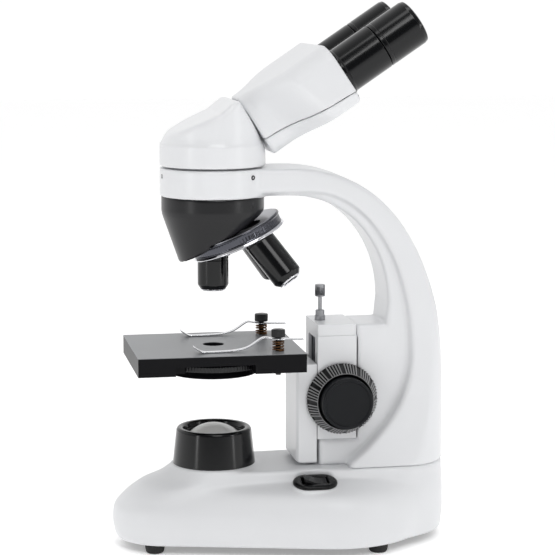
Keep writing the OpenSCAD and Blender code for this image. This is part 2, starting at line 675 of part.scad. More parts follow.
// Tube that slides sideways; its foot runs behind the front plate
module eyetube(s) color(black) head_place() translate([s * eye_distance / 2, head_length, tube_v])
  rotate([-90, 0, 0]) difference() {
    union() {
      translate([0, 0, -4.6]) cylinder(r = 17.8, h = 7.4);
      cylinder(r = eyetube_dia / 2, h = 33.6);
      translate([0, 0, -12]) cylinder(r = 13.2, h = 12);
      translate([-13, -13.5, -10.6]) cube([26, 27, 2]);
    }
    translate([0, 0, -20]) cylinder(r = 11.6, h = 70);
    translate([0, 0, 10]) cylinder(r = 11.65, h = 40);
  }
module eyetube_left() eyetube(-1);
module eyetube_right() eyetube(1);

module eyepiece(s) color(black) head_place() translate([s * eye_distance / 2, head_length, tube_v])
  rotate([-90, 0, 0]) let (r = eyetube_dia / 2) rotate_extrude() polygon([
    [9.6, 11], [11.58, 11], [11.58, 33.7], [r - 0.2, 33.7], [r, 34.2], [r, 62], [r - 0.7, 64.4], [r - 2.1, 65.6],
    [r - 3.9, 65.4], [9.8, 63], [9.6, 62]
  ]);
module eyepiece_left() eyepiece(-1);
module eyepiece_right() eyepiece(1);

module eye_lens(s) color(clear) head_place() translate([s * eye_distance / 2, head_length, tube_v])
  rotate([-90, 0, 0]) translate([0, 0, 59]) cylinder(r = 9.6, h = 3);
module eye_lens_left() eye_lens(-1);
module eye_lens_right() eye_lens(1);

base_shell();
base_plate();
rubber_feet();
plate_screws();
lamp_housing();
collector_lens();
lens_ring();
led_module();
heat_sink();
driver_board();
dc_socket();
switch_bezel();
switch_rocker();
arm();
focus_housing();
housing_cap();
fine_guide_rods();
cam_stop_pin();
fine_block();
coarse_shaft_left();
coarse_shaft_right();
coarse_knob_left();
coarse_knob_right();
fine_shaft();
fine_knob_left();
fine_knob_right();
cam_gear();
cam_axle();
carriage();
dovetail_slide();
focus_rack();
stage_plate();
stage_screws();
diaphragm_disc();
diaphragm_screw();
clip_left();
clip_right();
clip_springs();
clip_posts();
stop_lock_nut();
stop_screw();
nosepiece_shell();
arm_set_screws();
turret();
turret_grip();
turret_screw();
objective_low();
objective_medium();
objective_high();
head_body();
head_upper_shell();
head_lower_cover();
head_front_plate();
prism_set();
eyetube_left();
eyetube_right();
eyepiece_left();
eyepiece_right();
eye_lens_left();
eye_lens_right();
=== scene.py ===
"""Looks of a binocular student microscope, built round its CAD frame.

Every length in this file is in millimetres until a mesh is made, which turns it to metres. The axes are
the frame's: +Z up, -Y towards the nose of the base, +X the side with the power switch.
"""

from __future__ import annotations

import logging
import math
from collections.abc import Callable, Sequence
from dataclasses import dataclass, field
from enum import Enum

import bmesh
import bpy
import mathutils
import numpy as np
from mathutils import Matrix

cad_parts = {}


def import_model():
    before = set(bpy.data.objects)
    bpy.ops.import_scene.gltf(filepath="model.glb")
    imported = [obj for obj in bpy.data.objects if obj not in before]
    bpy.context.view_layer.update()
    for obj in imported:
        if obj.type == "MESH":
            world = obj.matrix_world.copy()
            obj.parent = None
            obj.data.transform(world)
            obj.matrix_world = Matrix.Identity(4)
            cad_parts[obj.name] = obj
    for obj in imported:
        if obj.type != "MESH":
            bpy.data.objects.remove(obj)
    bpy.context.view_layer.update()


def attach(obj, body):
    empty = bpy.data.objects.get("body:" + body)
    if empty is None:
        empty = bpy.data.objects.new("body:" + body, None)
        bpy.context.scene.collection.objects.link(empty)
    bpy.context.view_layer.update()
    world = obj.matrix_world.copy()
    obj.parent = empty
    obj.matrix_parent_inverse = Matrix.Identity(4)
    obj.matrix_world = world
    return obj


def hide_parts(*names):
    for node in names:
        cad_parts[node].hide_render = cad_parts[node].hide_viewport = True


LOG = logging.getLogger("microscope")
MM = 0.001
Array = np.ndarray
Vec = Sequence[float]
Ribs = Callable[[Array, Array, Array], Array]


# ---------------------------------------------------------------- numbers and curves


def smooth_step(x: Array | float) -> Array:
    """0 below 0, 1 above 1, and 3x^2 - 2x^3 between."""
    t = np.clip(x, 0.0, 1.0)
    return t * t * (3 - 2 * t)


def soft_min(a: Array, b: Array, k: float) -> Array:
    """The lower of two distances, blended by a parabola over a width of k."""
    h = np.maximum(k - np.abs(a - b), 0.0) / k
    return np.minimum(a, b) - h * h * k / 4


def soft_max(a: Array, b: Array, k: float) -> Array:
    """The higher of two distances, blended by a parabola over a width of k."""
    return -soft_min(-a, -b, k)


def bezier(points: Sequence[Vec], count: int) -> Array:
    """Cubic Bezier curve.

    Args:
        points: Its four control points.
        count: How many points to return.

    Returns:
        Points along the curve, one a row.
    """
    p = np.asarray(points, float)
    t = np.linspace(0, 1, count)[:, None]
    return (1 - t) ** 3 * p[0] + 3 * (1 - t) ** 2 * t * p[1] + 3 * (1 - t) * t**2 * p[2] + t**3 * p[3]


def through(points: Sequence[Vec], count: int) -> Array:
    """Catmull-Rom curve through the points, with its ends doubled.

    Args:
        points: Points that the curve passes through.
        count: Steps in each span.

    Returns:
        Points along the curve, one a row.
    """
    p = np.asarray(points, float)
    padded = np.vstack([2 * p[0] - p[1], p, 2 * p[-1] - p[-2]])
    t = np.linspace(0, 1, count, endpoint=False)[:, None]
    spans = []
    for i in range(len(p) - 1):
        a, b, c, d = padded[i : i + 4]
        spans.append(
            0.5 * (2 * b + (c - a) * t + (2 * a - 5 * b + 4 * c - d) * t**2 + (3 * b - a - 3 * c + d) * t**3)
        )
    return np.vstack([*spans, p[-1:]])


def filleted(points: Sequence[Vec], radii: Sequence[float] | float, closed: bool = False) -> Array:
    """Outline with a round arc at each corner and a supporting point beside each arc.

    Args:
        points: Corners, one a row.
        radii: Radius at each corner, or one for all of them; 0 keeps a corner sharp.
        closed: Whether the last corner joins the first.

    Returns:
        The rounded outline.
    """
    p = np.asarray(points, float)
    r = np.full(len(p), radii, float) if np.isscalar(radii) else np.asarray(radii, float)
    out = []
    for i, corner in enumerate(p):
        if not closed and i in (0, len(p) - 1) or r[i] <= 0:
            out.append(corner[None])
            continue
        before, after = p[i - 1] - corner, p[(i + 1) % len(p)] - corner
        room = min(np.linalg.norm(before), np.linalg.norm(after)) * 0.48
        u, w = before / np.linalg.norm(before), after / np.linalg.norm(after)
        half = math.acos(float(np.clip(u @ w, -1, 1))) / 2
        if half > math.pi / 2 - 0.02:
            out.append(corner[None])
            continue
        reach = min(r[i] / math.tan(half), room)
        radius = reach * math.tan(half)
        middle = corner + (u + w) / np.linalg.norm(u + w) * radius / math.sin(half)
        a, b = corner + u * reach - middle, corner + w * reach - middle
        turn = math.pi - 2 * half
        t = np.linspace(0, 1, max(3, round(turn / 0.35) + 1))[:, None]
        arc = (np.sin((1 - t) * turn) * a + np.sin(t * turn) * b) / math.sin(turn) + middle
        support = min(0.25 * radius, room - reach) if room > reach else 0
        out.append(np.vstack([corner + u * (reach + support), arc, corner + w * (reach + support)]))
    return np.vstack(out)


@dataclass(frozen=True)
class Place:
    """Where a piece's own axes stand in the frame.

    Attributes:
        origin: The piece's origin, in mm.
        axis: Direction of its own +Z.
        across: A direction that its own +X lies nearest to.
    """

    origin: Vec = (0.0, 0.0, 0.0)
    axis: Vec = (0.0, 0.0, 1.0)
    across: Vec = (1.0, 0.0, 0.0)

    def apply(self, points: Array) -> Array:
        """Points from the piece's own axes to the frame's."""
        z = np.asarray(self.axis, float)
        z = z / np.linalg.norm(z)
        x = np.asarray(self.across, float)
        x = x - z * (x @ z)
        x = x / np.linalg.norm(x)
        return np.asarray(self.origin, float) + points @ np.array([x, np.cross(z, x), z])


# ---------------------------------------------------------------- meshes


def mesh_object(name: str, points: Array, faces: Array, outward: bool = True) -> bpy.types.Object:
    """A smooth-shaded object from points in mm.

    Args:
        name: The piece's name.
        points: Its vertices, one a row.
        faces: Vertex numbers of each face.
        outward: Whether to merge doubles and turn all faces outwards, for a closed piece.

    Returns:
        The new object, linked to the scene.
    """
    mesh = bpy.data.meshes.new(name)
    mesh.from_pydata((points * MM).tolist(), [], faces.tolist())
    edit = bmesh.new()
    edit.from_mesh(mesh)
    bmesh.ops.remove_doubles(edit, verts=edit.verts, dist=1e-7)
    bmesh.ops.dissolve_degenerate(edit, edges=edit.edges, dist=1e-8)
    if outward:
        bmesh.ops.recalc_face_normals(edit, faces=edit.faces)
    edit.to_mesh(mesh)
    edit.free()
    mesh.shade_smooth()
    obj = bpy.data.objects.new(name, mesh)
    bpy.context.scene.collection.objects.link(obj)
    return obj


def grid_faces(rows: int, columns: int, wrap_rows: bool, wrap_columns: bool) -> Array:
    """Quads between neighbouring points of a grid, as rows of four vertex numbers."""
    i = np.arange(rows if wrap_rows else rows - 1)[:, None]
    j = np.arange(columns if wrap_columns else columns - 1)[None]
    i2, j2 = (i + 1) % rows, (j + 1) % columns
    a, b, c, d = (np.broadcast_arrays(i * columns + j, i * columns + j2, i2 * columns + j2, i2 * columns + j))
    return np.stack([a, b, c, d], -1).reshape(-1, 4)


def surface(name: str, grid: Array, wrap_rows: bool = False, wrap_columns: bool = True,
            outward: bool = True) -> bpy.types.Object:
    """A surface over a grid of points, rows by columns by 3, in mm."""
    rows, columns = grid.shape[:2]
    return mesh_object(name, grid.reshape(-1, 3), grid_faces(rows, columns, wrap_rows, wrap_columns), outward)


def lathe(name: str, profile: Array, place: Place, steps: int = 96,
          ribs: Ribs | None = None, closed: bool = False) -> bpy.types.Object:
    """A turned piece: the profile of (radius, height) carried round the place's axis.

    Args:
        name: The piece's name.
        profile: Points of radius and height, one a row.
        place: The piece's axis and origin.
        steps: Points round the axis.
        ribs: Gives the radius from the radius, the height and the angle, for knurls and flutes.
        closed: Whether the profile is a loop that stays off the axis.

    Returns:
        The new object.
    """
    angle = np.linspace(0, 2 * math.pi, steps, endpoint=False)[None]
    radius, height = profile[:, :1] + 0 * angle, profile[:, 1:] + 0 * angle
    if ribs is not None:
        radius = ribs(radius, height, angle + 0 * radius)
    grid = np.stack([radius * np.cos(angle), radius * np.sin(angle), height], -1)
    return surface(name, place.apply(grid), wrap_rows=closed)


def knurled(low: float, high: float, soft: float, inner: float, depth: float, count: int) -> Ribs:
    """Fine flutes on a band of a turned piece, for lathe's ribs.

    Args:
        low: Height where the flutes start.
        high: Height where they end.
        soft: Height over which they fade in and out.
        inner: Radius below which the profile stays round.
        depth: Depth of a flute.
        count: Flutes round the piece.

    Returns:
        The function that gives the radius.
    """
    def ribs(radius: Array, height: Array, angle: Array) -> Array:
        band = smooth_step((height - low) / soft) * smooth_step((high - height) / soft)
        band = band * smooth_step((radius - inner) / 0.3)
        return radius - depth * band * (0.5 + 0.5 * np.cos(count * angle))

    return ribs


def sweep(name: str, path: Array, section: Callable[[Array], Array], up: Vec) -> bpy.types.Object:
    """A section carried along a path, with each end closed to its middle.

    Args:
        name: The piece's name.
        path: Points of the path, one a row.
        section: From the share of the way along, 0 to 1, to section points (along x count x 2), in
            the directions sideways and up.
        up: A direction that the section's second axis lies nearest to.

    Returns:
        The new object.
    """
    along = np.gradient(path, axis=0)
    along /= np.linalg.norm(along, axis=1, keepdims=True)
    sideways = np.cross(along, np.asarray(up, float))
    sideways /= np.linalg.norm(sideways, axis=1, keepdims=True)
    upward = np.cross(sideways, along)
    flat = section(np.linspace(0, 1, len(path)))
    grid = path[:, None] + flat[..., :1] * sideways[:, None] + flat[..., 1:] * upward[:, None]
    first = np.broadcast_to(grid[0].mean(0), grid[:1].shape)
    last = np.broadcast_to(grid[-1].mean(0), grid[:1].shape)
    return surface(name, np.concatenate([first, grid, last]))


Field = Callable[[Array, Array, Array], Array]


def net_surface(name: str, distance: Field, low: Vec, high: Vec, cell: float,
                place: Place = Place()) -> bpy.types.Object:
    """The zero level of a signed distance, as a net of quads.

    The distance is worked out on a box of grid points. Each cell that the zero level crosses gets one
    vertex, at the mean of the crossings on its edges, and each grid edge that is crossed joins the four
    cells round it with a quad. The vertices then slide down the gradient onto the zero level.

    Args:
        name: The piece's name.
        distance: Signed distance from x, y and z, which broadcast; negative inside.
        low: Lowest corner of the box.
        high: Highest corner of the box.
        cell: Edge of a cell.
        place: Where the box's own axes stand.

    Returns:
        The new object.
    """
    axes = [np.arange(a - cell, b + 2 * cell, cell) for a, b in zip(low, high)]
    grid = [axes[0][:, None, None], axes[1][None, :, None], axes[2][None, None, :]]
    value = np.broadcast_to(distance(*grid), [len(a) for a in axes]).copy()
    value[value == 0] = 1e-9
    inside = value < 0
    shape = np.array(value.shape) - 1
    total, count = np.zeros((*shape, 3)), np.zeros(shape)
    quads = []
    number = np.arange(shape.prod()).reshape(shape)
    for axis in range(3):
        lower = [slice(None)] * 3
        upper = [slice(None)] * 3
        lower[axis], upper[axis] = slice(0, -1), slice(1, None)
        crossed = inside[tuple(lower)] != inside[tuple(upper)]
        where = np.argwhere(crossed)
        a, b = value[tuple(lower)][crossed], value[tuple(upper)][crossed]
        point = np.stack([axes[k][where[:, k]] for k in range(3)], -1)
        point[:, axis] += cell * a / (a - b)
        others = [k for k in range(3) if k != axis]
        corners = []
        for step in ((0, 0), (1, 0), (1, 1), (0, 1)):
            index = where.copy()
            index[:, others[0]] -= step[0]
            index[:, others[1]] -= step[1]
            keep = tuple(index.T)
            np.add.at(total, keep, point)
            np.add.at(count, keep, 1)
            corners.append(number[keep])
        quad = np.stack(corners, -1)
        flip = (a < 0) == (axis == 1)
        quad[flip] = quad[flip][:, ::-1]
        quads.append(quad)
    used = count > 0
    position = total[used] / count[used][:, None]
    renumber = np.full(shape.prod(), -1)
    renumber[number[used]] = np.arange(used.sum())
    step = 0.05
    for _ in range(4):
        here = distance(*position.T)
        slope = np.stack([distance(*(position + step * e).T) - here for e in np.eye(3)], -1) / step
        position -= np.clip(here / np.maximum((slope**2).sum(-1), 0.2), -cell / 2, cell / 2)[:, None] * slope
    return mesh_object(name, place.apply(position), renumber[np.vstack(quads)], outward=True)


def polygon_distance(outline: Array, a: Array, b: Array) -> Array:
    """Signed distance from the points (a, b) to a closed outline: the nearest edge, negative inside."""
    best = np.full(np.broadcast(a, b).shape, 1e9)
    inside = np.zeros(best.shape, bool)
    for p, q in zip(outline, np.roll(outline, -1, 0)):
        edge = q - p
        t = np.clip(((a - p[0]) * edge[0] + (b - p[1]) * edge[1]) / (edge @ edge), 0, 1)
        best = np.minimum(best, (a - p[0] - t * edge[0]) ** 2 + (b - p[1] - t * edge[1]) ** 2)
        crosses = (p[1] > b) != (q[1] > b)
        rise = edge[1] if edge[1] else 1e-12
        inside ^= crosses & (a < p[0] + (b - p[1]) / rise * edge[0])
    return np.where(inside, -1, 1) * np.sqrt(best)


def rounded_pair(a: Array, b: Array, radius: float) -> Array:
    """Distance to where two distances are both negative, with their common edge rounded."""
    u, w = a + radius, b + radius
    return np.hypot(np.maximum(u, 0), np.maximum(w, 0)) + np.minimum(np.maximum(u, w), 0) - radius


# ---------------------------------------------------------------- finishes


def linear(hex_colour: str) -> tuple[float, float, float, float]:
    """sRGB hex colour, such as 'ECECEE', as linear RGBA."""
    parts = [int(hex_colour[i : i + 2], 16) / 255 for i in (0, 2, 4)]
    return (*[c / 12.92 if c <= 0.04045 else ((c + 0.055) / 1.055) ** 2.4 for c in parts], 1.0)


def add_node(tree: bpy.types.NodeTree, kind: str, inputs: dict[str | int, object] | None = None,
             **settings: object) -> bpy.types.Node:
    """Adds a shader node.

    Args:
        tree: The material's node tree.
        kind: The node's type name.
        inputs: Input sockets' values, or output sockets to link to them.
        settings: The node's own properties.

    Returns:
        The new node.
    """
    node = tree.nodes.new(kind)
    for key, value in settings.items():
        setattr(node, key, value)
    for key, value in (inputs or {}).items():
        if isinstance(value, bpy.types.NodeSocket):
            tree.links.new(value, node.inputs[key])
        else:
            node.inputs[key].default_value = value
    return node


@dataclass(frozen=True)
class Finish:
    """A surface finish: one colour with faint cloudy variation, a fine grain and its own gloss.

    Attributes:
        name: The material's name.
        colour: sRGB hex colour.
        roughness: Mean roughness.
        metallic: 1 for bare metal.
        coat: Strength of a clear top coat.
        coat_roughness: Roughness of that coat.
        grain_mm: Width of one bump of the surface's texture.
        grain_depth: Height of that bump, in mm.
        variation: How much the colour and roughness wander.
        transmission: Share of light that passes through.
        specular: Strength of the surface reflection.
        stretch: Scale of the grain along X, Y and Z, for brushed or turned work.
    """

    name: str
    colour: str
    roughness: float
    metallic: float = 0.0
    coat: float = 0.0
    coat_roughness: float = 0.1
    grain_mm: float = 0.8
    grain_depth: float = 0.004
    variation: float = 0.05
    transmission: float = 0.0
    specular: float = 0.5
    stretch: tuple[float, float, float] = (1.0, 1.0, 1.0)

    def material(self) -> bpy.types.Material:
        """The finish as a material; it is made once and then shared."""
        label = f"{self.name}_finish"
        made = bpy.data.materials.get(label)
        if made:
            return made
        made = bpy.data.materials.new(label)
        made.use_nodes = True
        tree = made.node_tree
        tree.nodes.clear()
        place = add_node(tree, "ShaderNodeTexCoord").outputs["Object"]
        turned = add_node(tree, "ShaderNodeMapping",
                          {"Vector": place, "Scale": self.stretch}).outputs["Vector"]
        cloud = add_node(tree, "ShaderNodeTexNoise", {"Vector": place, "Scale": 1 / (38 * MM), "Detail": 3.0})
        grain = add_node(tree, "ShaderNodeTexNoise",
                         {"Vector": turned, "Scale": 1 / (self.grain_mm * MM), "Detail": 2.0})
        base = np.array(linear(self.colour))
        dark, light = base * (1 - self.variation), np.minimum(base * (1 + self.variation), 1)
        dark[3] = light[3] = 1
        ramp = add_node(tree, "ShaderNodeValToRGB", {"Fac": cloud.outputs["Fac"]})
        ramp.color_ramp.elements[0].position, ramp.color_ramp.elements[1].position = 0.3, 0.7
        ramp.color_ramp.elements[0].color, ramp.color_ramp.elements[1].color = dark, light
        rough = add_node(tree, "ShaderNodeMapRange", {
            "Value": grain.outputs["Fac"], "To Min": self.roughness * (1 - 2 * self.variation),
            "To Max": self.roughness * (1 + 2 * self.variation)})
        bump = add_node(tree, "ShaderNodeBump", {
            "Height": grain.outputs["Fac"], "Distance": self.grain_depth * MM, "Strength": 1.0})
        shader = add_node(tree, "ShaderNodeBsdfPrincipled", {
            "Base Color": ramp.outputs["Color"], "Roughness": rough.outputs["Result"],
            "Normal": bump.outputs["Normal"],
            "Metallic": self.metallic, "Coat Weight": self.coat, "Coat Roughness": self.coat_roughness,
            "Transmission Weight": self.transmission, "Specular IOR Level": self.specular})
        add_node(tree, "ShaderNodeOutputMaterial", {"Surface": shader.outputs["BSDF"]})
        return made


class Look(Enum):
    """The finishes of this microscope, each named for what the real surface is; the darkened chrome is a
    painted reflection.
    """

    # Stoved enamel on cast aluminium: cool white, semi-gloss, with a faint orange peel.
    WHITE_ENAMEL = Finish("white_enamel", "E0E1E3", 0.34, coat=0.25, coat_roughness=0.2, grain_mm=1.6,
                          grain_depth=0.006,
                          variation=0.012)
    # Injection-moulded ABS: a little warmer and more matte than the enamel.
    WHITE_ABS = Finish("white_abs", "DFE0E2", 0.38, grain_mm=0.9, grain_depth=0.005, variation=0.012)
    # Gloss black lacquer on turned brass: deep, with sharp reflections.
    BLACK_LACQUER = Finish("black_lacquer", "030406", 0.16, specular=0.36, grain_mm=1.2, grain_depth=0.0006,
                           variation=0.06)
    # Satin black paint on a die casting: broad soft highlights.
    BLACK_SATIN = Finish("black_satin", "08080C", 0.3, specular=0.4, grain_mm=0.5, grain_depth=0.004,
                         variation=0.06)
    # Moulded black ABS of knobs and switch.
    BLACK_ABS = Finish("black_abs", "08080A", 0.28, specular=0.25, grain_mm=0.6, grain_depth=0.004,
                       variation=0.06)
    # Fine-textured charcoal ABS: spark-eroded mould, no gloss.
    CHARCOAL_ABS = Finish("charcoal_abs", "121417", 0.5, specular=0.2, grain_mm=0.45, grain_depth=0.012,
                          variation=0.08)
    # Moulded rubber: dull, slightly dusty.
    RUBBER = Finish("moulded_rubber", "121212", 0.7, grain_mm=0.7, grain_depth=0.02, variation=0.15)
    # Polished chrome plate.
    CHROME = Finish("chrome_plate", "DADADE", 0.09, metallic=1.0, grain_mm=2.0, grain_depth=0.001,
                    variation=0.03)
    # Chrome of the turret's band, darkened to a third as bright as plain chrome to paint its dark
    # reflections: mirror-like.
    CHROME_PAINTED_DARK = Finish("chrome_painted_dark_reflection", "505157", 0.17, metallic=1.0, grain_mm=2.0, grain_depth=0.001,
                         variation=0.1)
    # Satin chrome on the turret's underside.
    SATIN_CHROME = Finish("satin_chrome", "9A9BA1", 0.3, metallic=1.0, grain_mm=0.4, grain_depth=0.003,
                          variation=0.04)
    # Zinc-plated turned steel: grey with fine tool marks round the axis.
    TURNED_STEEL = Finish("turned_steel", "9FA0A3", 0.36, metallic=1.0, grain_mm=0.35, grain_depth=0.006,
                          variation=0.08,
                          stretch=(0.2, 0.2, 1.0))
    # Bright spring steel strip, polished along its length.
    SPRING_STEEL = Finish("spring_steel", "D5D6D9", 0.16, metallic=1.0, grain_mm=0.5, grain_depth=0.003,
                          variation=0.04,
                          stretch=(1.0, 0.1, 1.0))
    # Phosphor bronze spring wire.
    BRONZE_WIRE = Finish("bronze_wire", "6E5138", 0.32, metallic=1.0, grain_mm=0.4, grain_depth=0.003,
                         variation=0.1)
    # Machined brass of the rack and gear.
    BRASS = Finish("machined_brass", "B5934E", 0.3, metallic=1.0, grain_mm=0.5, grain_depth=0.004,
                   variation=0.06)
    # Machined aluminium of the fine focus block.
    ALUMINIUM = Finish("machined_aluminium", "C3C5C8", 0.32, metallic=1.0, grain_mm=0.5, grain_depth=0.004,
                       variation=0.05,
                       stretch=(0.15, 1.0, 1.0))
    # Frosted collector glass: milky, with a soft sheen.
    FROSTED_GLASS = Finish("frosted_glass", "E4E4E2", 0.32, coat=0.3, grain_mm=0.5, grain_depth=0.01,
                           variation=0.03,
                           transmission=0.1)
    # Clear crown glass.
    CLEAR_GLASS = Finish("crown_glass", "EEF3F4", 0.03, grain_mm=3.0, grain_depth=0.0, variation=0.0,
                         transmission=1.0)
    # Glass-fibre board with green solder mask.
    BOARD = Finish("solder_mask", "1C5A34", 0.35, grain_mm=0.8, grain_depth=0.01, variation=0.1)
    # Yellow phosphor of the LED.
    PHOSPHOR = Finish("led_phosphor", "E2CF72", 0.45, grain_mm=0.4, grain_depth=0.01, variation=0.05)

    def on(self, obj: bpy.types.Object) -> bpy.types.Object:
        """Gives the object this finish in every slot."""
        obj.data.materials.clear()
        obj.data.materials.append(self.value.material())
        return obj


def dress_node(name: str, look: Look, bevel: float = 0.0) -> bpy.types.Object:
    """Gives a CAD node its finish, and rounds its edges by modifiers that leave its mesh alone.

    Args:
        name: The node's name.
        look: Its finish.
        bevel: Width of the rounded edges; 0 for none.

    Returns:
        The node's object.
    """
    obj = bpy.data.objects[name]
    for slot in obj.material_slots:
        slot.material = look.value.material()
    if not obj.material_slots:
        obj.data.materials.append(look.value.material())
    if bevel:
        weld = obj.modifiers.new("weld", "WELD")
        weld.merge_threshold = 0.002 * MM
        edges = obj.modifiers.new("bevel", "BEVEL")
        edges.width = bevel * MM
        edges.segments = 2
        edges.limit_method = "ANGLE"
        edges.angle_limit = math.radians(35)
        edges.harden_normals = False
        edges.use_clamp_overlap = True
    return obj


def fit(obj: bpy.types.Object, look: Look, body: str, slot: str, *nodes: str) -> bpy.types.Object:
    """Finishes a new piece, lets it ride on its body, and hides the CAD nodes that it stands for."""
    look.on(obj)
    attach(obj, body)
    if nodes:
        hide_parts(*nodes)
    LOG.info("%s: %d faces on %s", obj.name, len(obj.data.polygons), body)
    return obj


def rotation(axis: str, degrees: float) -> Array:
    """Right-handed rotation matrix about X or Z."""
    c, s = math.cos(math.radians(degrees)), math.sin(math.radians(degrees))
    if axis == "X":
        return np.array([[1, 0, 0], [0, c, -s], [0, s, c]])
    return np.array([[c, -s, 0], [s, c, 0], [0, 0, 1]])


AXIS_Y = -48.0
HEAD_TILT = 34.0
TURRET_TILT = 24.0
SWITCH_TILT = math.radians(13)
HEAD_CORNER = np.array([0.0, -6.0, 285.0])
HEAD_TURN = rotation("X", HEAD_TILT)
HEAD_PLACE = Place(tuple(HEAD_CORNER), tuple(HEAD_TURN[:, 2]), (1, 0, 0))
TURRET_APEX = np.array([0.0, AXIS_Y, 265.0])
TURRET_TURN = rotation("X", TURRET_TILT)
TURRET_PLACE = Place(tuple(TURRET_APEX), tuple(TURRET_TURN[:, 2]), (1, 0, 0))
SWITCH_PLACE = Place((43.0, 19.0, 50.2), (math.sin(SWITCH_TILT), 0, math.cos(SWITCH_TILT)), (1, 0, 0))


def uneven_capsule(x: Array, y: Array, y1: Array, r1: Array, y2: Array, r2: Array) -> Array:
    """Distance in plan to the hull of two circles on the Y axis, at y1 and y2 (y2 > y1), radii r1 and r2.

    Beside the two common tangents it is the distance to the nearer tangent, and past them it is the
    distance to the nearer circle.
    """
    px, py, h = np.abs(x), y - y1, y2 - y1
    b = (r1 - r2) / h
    a = np.sqrt(np.maximum(1 - b * b, 1e-6))
    k = a * py - b * px
    return np.where(k < 0, np.hypot(px, py) - r1,
                    np.where(k > a * h, np.hypot(px, py - h) - r2, px * a + py * b - r1))


@dataclass
class Base:
    """The moulded base: a bulging skirt, a sloping terrace and a raised flat deck.

    Attributes:
        skirt: Layers of the skirt: height, nose circle's Y and radius, middle circle's radius, heel
            circle's Y and radius.
        deck: Layers of the raised deck, in the same terms.
        top: Height of the deck.
        bottom: Height of the lower rim.
        wall: Thickness of the moulding.
        cell: Mesh size.
    """

    skirt: Sequence[Vec] = (
        (6.5, -83.6, 35.6, 65.8, 77.4, 42), (9, -83.6, 36.9, 67.0, 77.3, 43.2),
        (13, -83.6, 38.0, 68.1, 77.2, 44.2),
        (21, -83.6, 39.0, 69.0, 77.6, 45.0), (31, -83.0, 37.8, 68.0, 77.6, 44.9),
        (38.2, -78.5, 34.5, 65.6, 77.7, 44.3),
        (43, -75.0, 31.5, 61.4, 78.0, 43.3), (46.4, -72.0, 29.0, 54.5, 79.0, 41.6),
        (49.4, -66.0, 25.0, 43.5, 80, 40),
        (51.4, -60.0, 20.0, 36.0, 80.0, 38.5))
    deck: Sequence[Vec] = (
        (30, -82, 33, 44, 79, 42.5), (38, -80, 33, 42, 80, 42), (45.8, -68, 34, 39, 82, 40.2),
        (51.6, -56, 33, 37, 83, 39.4),
        (58.2, -48, 31.4, 35.2, 84, 38.6))
    top: float = 58.0
    bottom: float = 6.5
    wall: float = 2.6
    cell: float = 1.7

    def plan(self, x: Array, y: Array, z: Array, layers: Sequence[Vec]) -> Array:
        """Distance in plan to the hull of the nose, middle and heel circles of the layer at height z."""
        table = through(layers, 6)
        nose_y, nose_r, middle_r, heel_y, heel_r = (np.interp(z, table[:, 0], table[:, i])
                                                    for i in range(1, 6))
        front = uneven_capsule(x, y, nose_y, nose_r, 40.0, middle_r)
        return np.minimum(front, uneven_capsule(x, y, 40.0, middle_r, heel_y, heel_r))

    def skin(self, x: Array, y: Array, z: Array) -> Array:
        """Skirt and deck, blended over a soft crease, with a flare round the lamp and a pad at the switch."""
        skirt = soft_max(self.plan(x, y, z, self.skirt), z - 51.3, 1.5)
        deck = soft_max(self.plan(x, y, z, self.deck), z - self.top, 3.0)
        body = soft_min(skirt, deck, 5.0)
        lamp = soft_max(np.hypot(x, y - AXIS_Y) - 31.4, z - 58.9, 0.6)
        u, v, w = self.switch_axes(x, y, z)
        pad = soft_max(self.oval(u, v, 10.8), np.abs(w + 3) - 3, 0.8)
        return soft_min(soft_min(body, lamp, 3.0), pad, 1.5)

    @staticmethod
    def switch_axes(x: Array, y: Array, z: Array) -> tuple[Array, Array, Array]:
        """The point in the switch's own axes: across, along and out."""
        c, s = math.cos(SWITCH_TILT), math.sin(SWITCH_TILT)
        dx, dz = x - 43.0, z - 50.2
        return dx * c - dz * s, y - 19.0, dx * s + dz * c

    @staticmethod
    def oval(u: Array, v: Array, radius: float) -> Array:
        """Distance to a slot-shaped outline whose round ends are 10.8 mm apart."""
        return np.hypot(u, np.maximum(np.abs(v) - 5.4, 0)) - radius

    def distance(self, x: Array, y: Array, z: Array) -> Array:
        """The skin less its inside, the light well, the switch's opening and pocket, and the inlet's hole."""
        skin = self.skin(x, y, z)
        u, v, w = self.switch_axes(x, y, z)
        inside = np.maximum(self.skin(x, y, z + 5.0), skin + self.wall + 2.0)
        shell = np.maximum(soft_max(skin, self.bottom - z, 1.6), -inside)
        shell = soft_max(shell, -soft_max(self.oval(u, v, 11.1), -w, 0.5), 0.8)
        shell = np.maximum(shell, -np.maximum(np.maximum(np.abs(u) - 6.6, np.abs(v) - 10.9), -w - 20))
        shell = np.maximum(shell, -np.maximum(np.hypot(x, y - AXIS_Y) - 22, 30 - z))
        return np.maximum(shell, -np.maximum(np.hypot(x, z - 20) - 5.05, 95 - y))

    def build(self) -> None:
        """Makes the moulding and dresses the base's other nodes."""
        shell = net_surface("base_moulding", self.distance, (-69.5, -123, 5), (69.5, 123, 60), self.cell)
        fit(shell, Look.WHITE_ABS, "stand", "white_plastic", "base_shell")
        dress_node("base_plate", Look.BLACK_SATIN, 0.4)
        dress_node("plate_screws", Look.TURNED_STEEL, 0.3)
        dress_node("driver_board", Look.BOARD, 0.2)
        dress_node("heat_sink", Look.ALUMINIUM, 0.2)
        dress_node("led_module", Look.PHOSPHOR, 0.3)
        dress_node("dc_socket", Look.BLACK_ABS, 0.3)
        profile = filleted([(0, 0.0), (6.4, 0.0), (7.5, 6.5), (0, 6.5)], [0, 1.8, 0.3, 0])
        for i, (x, y) in enumerate(((25, -95), (-25, -95), (51, 64), (-51, 64))):
            foot = lathe(f"foot_{i + 1}", profile, Place((x, y, 0)), 48)
            fit(foot, Look.RUBBER, "stand", "rubber_black", *(["rubber_feet"] if i == 0 else []))


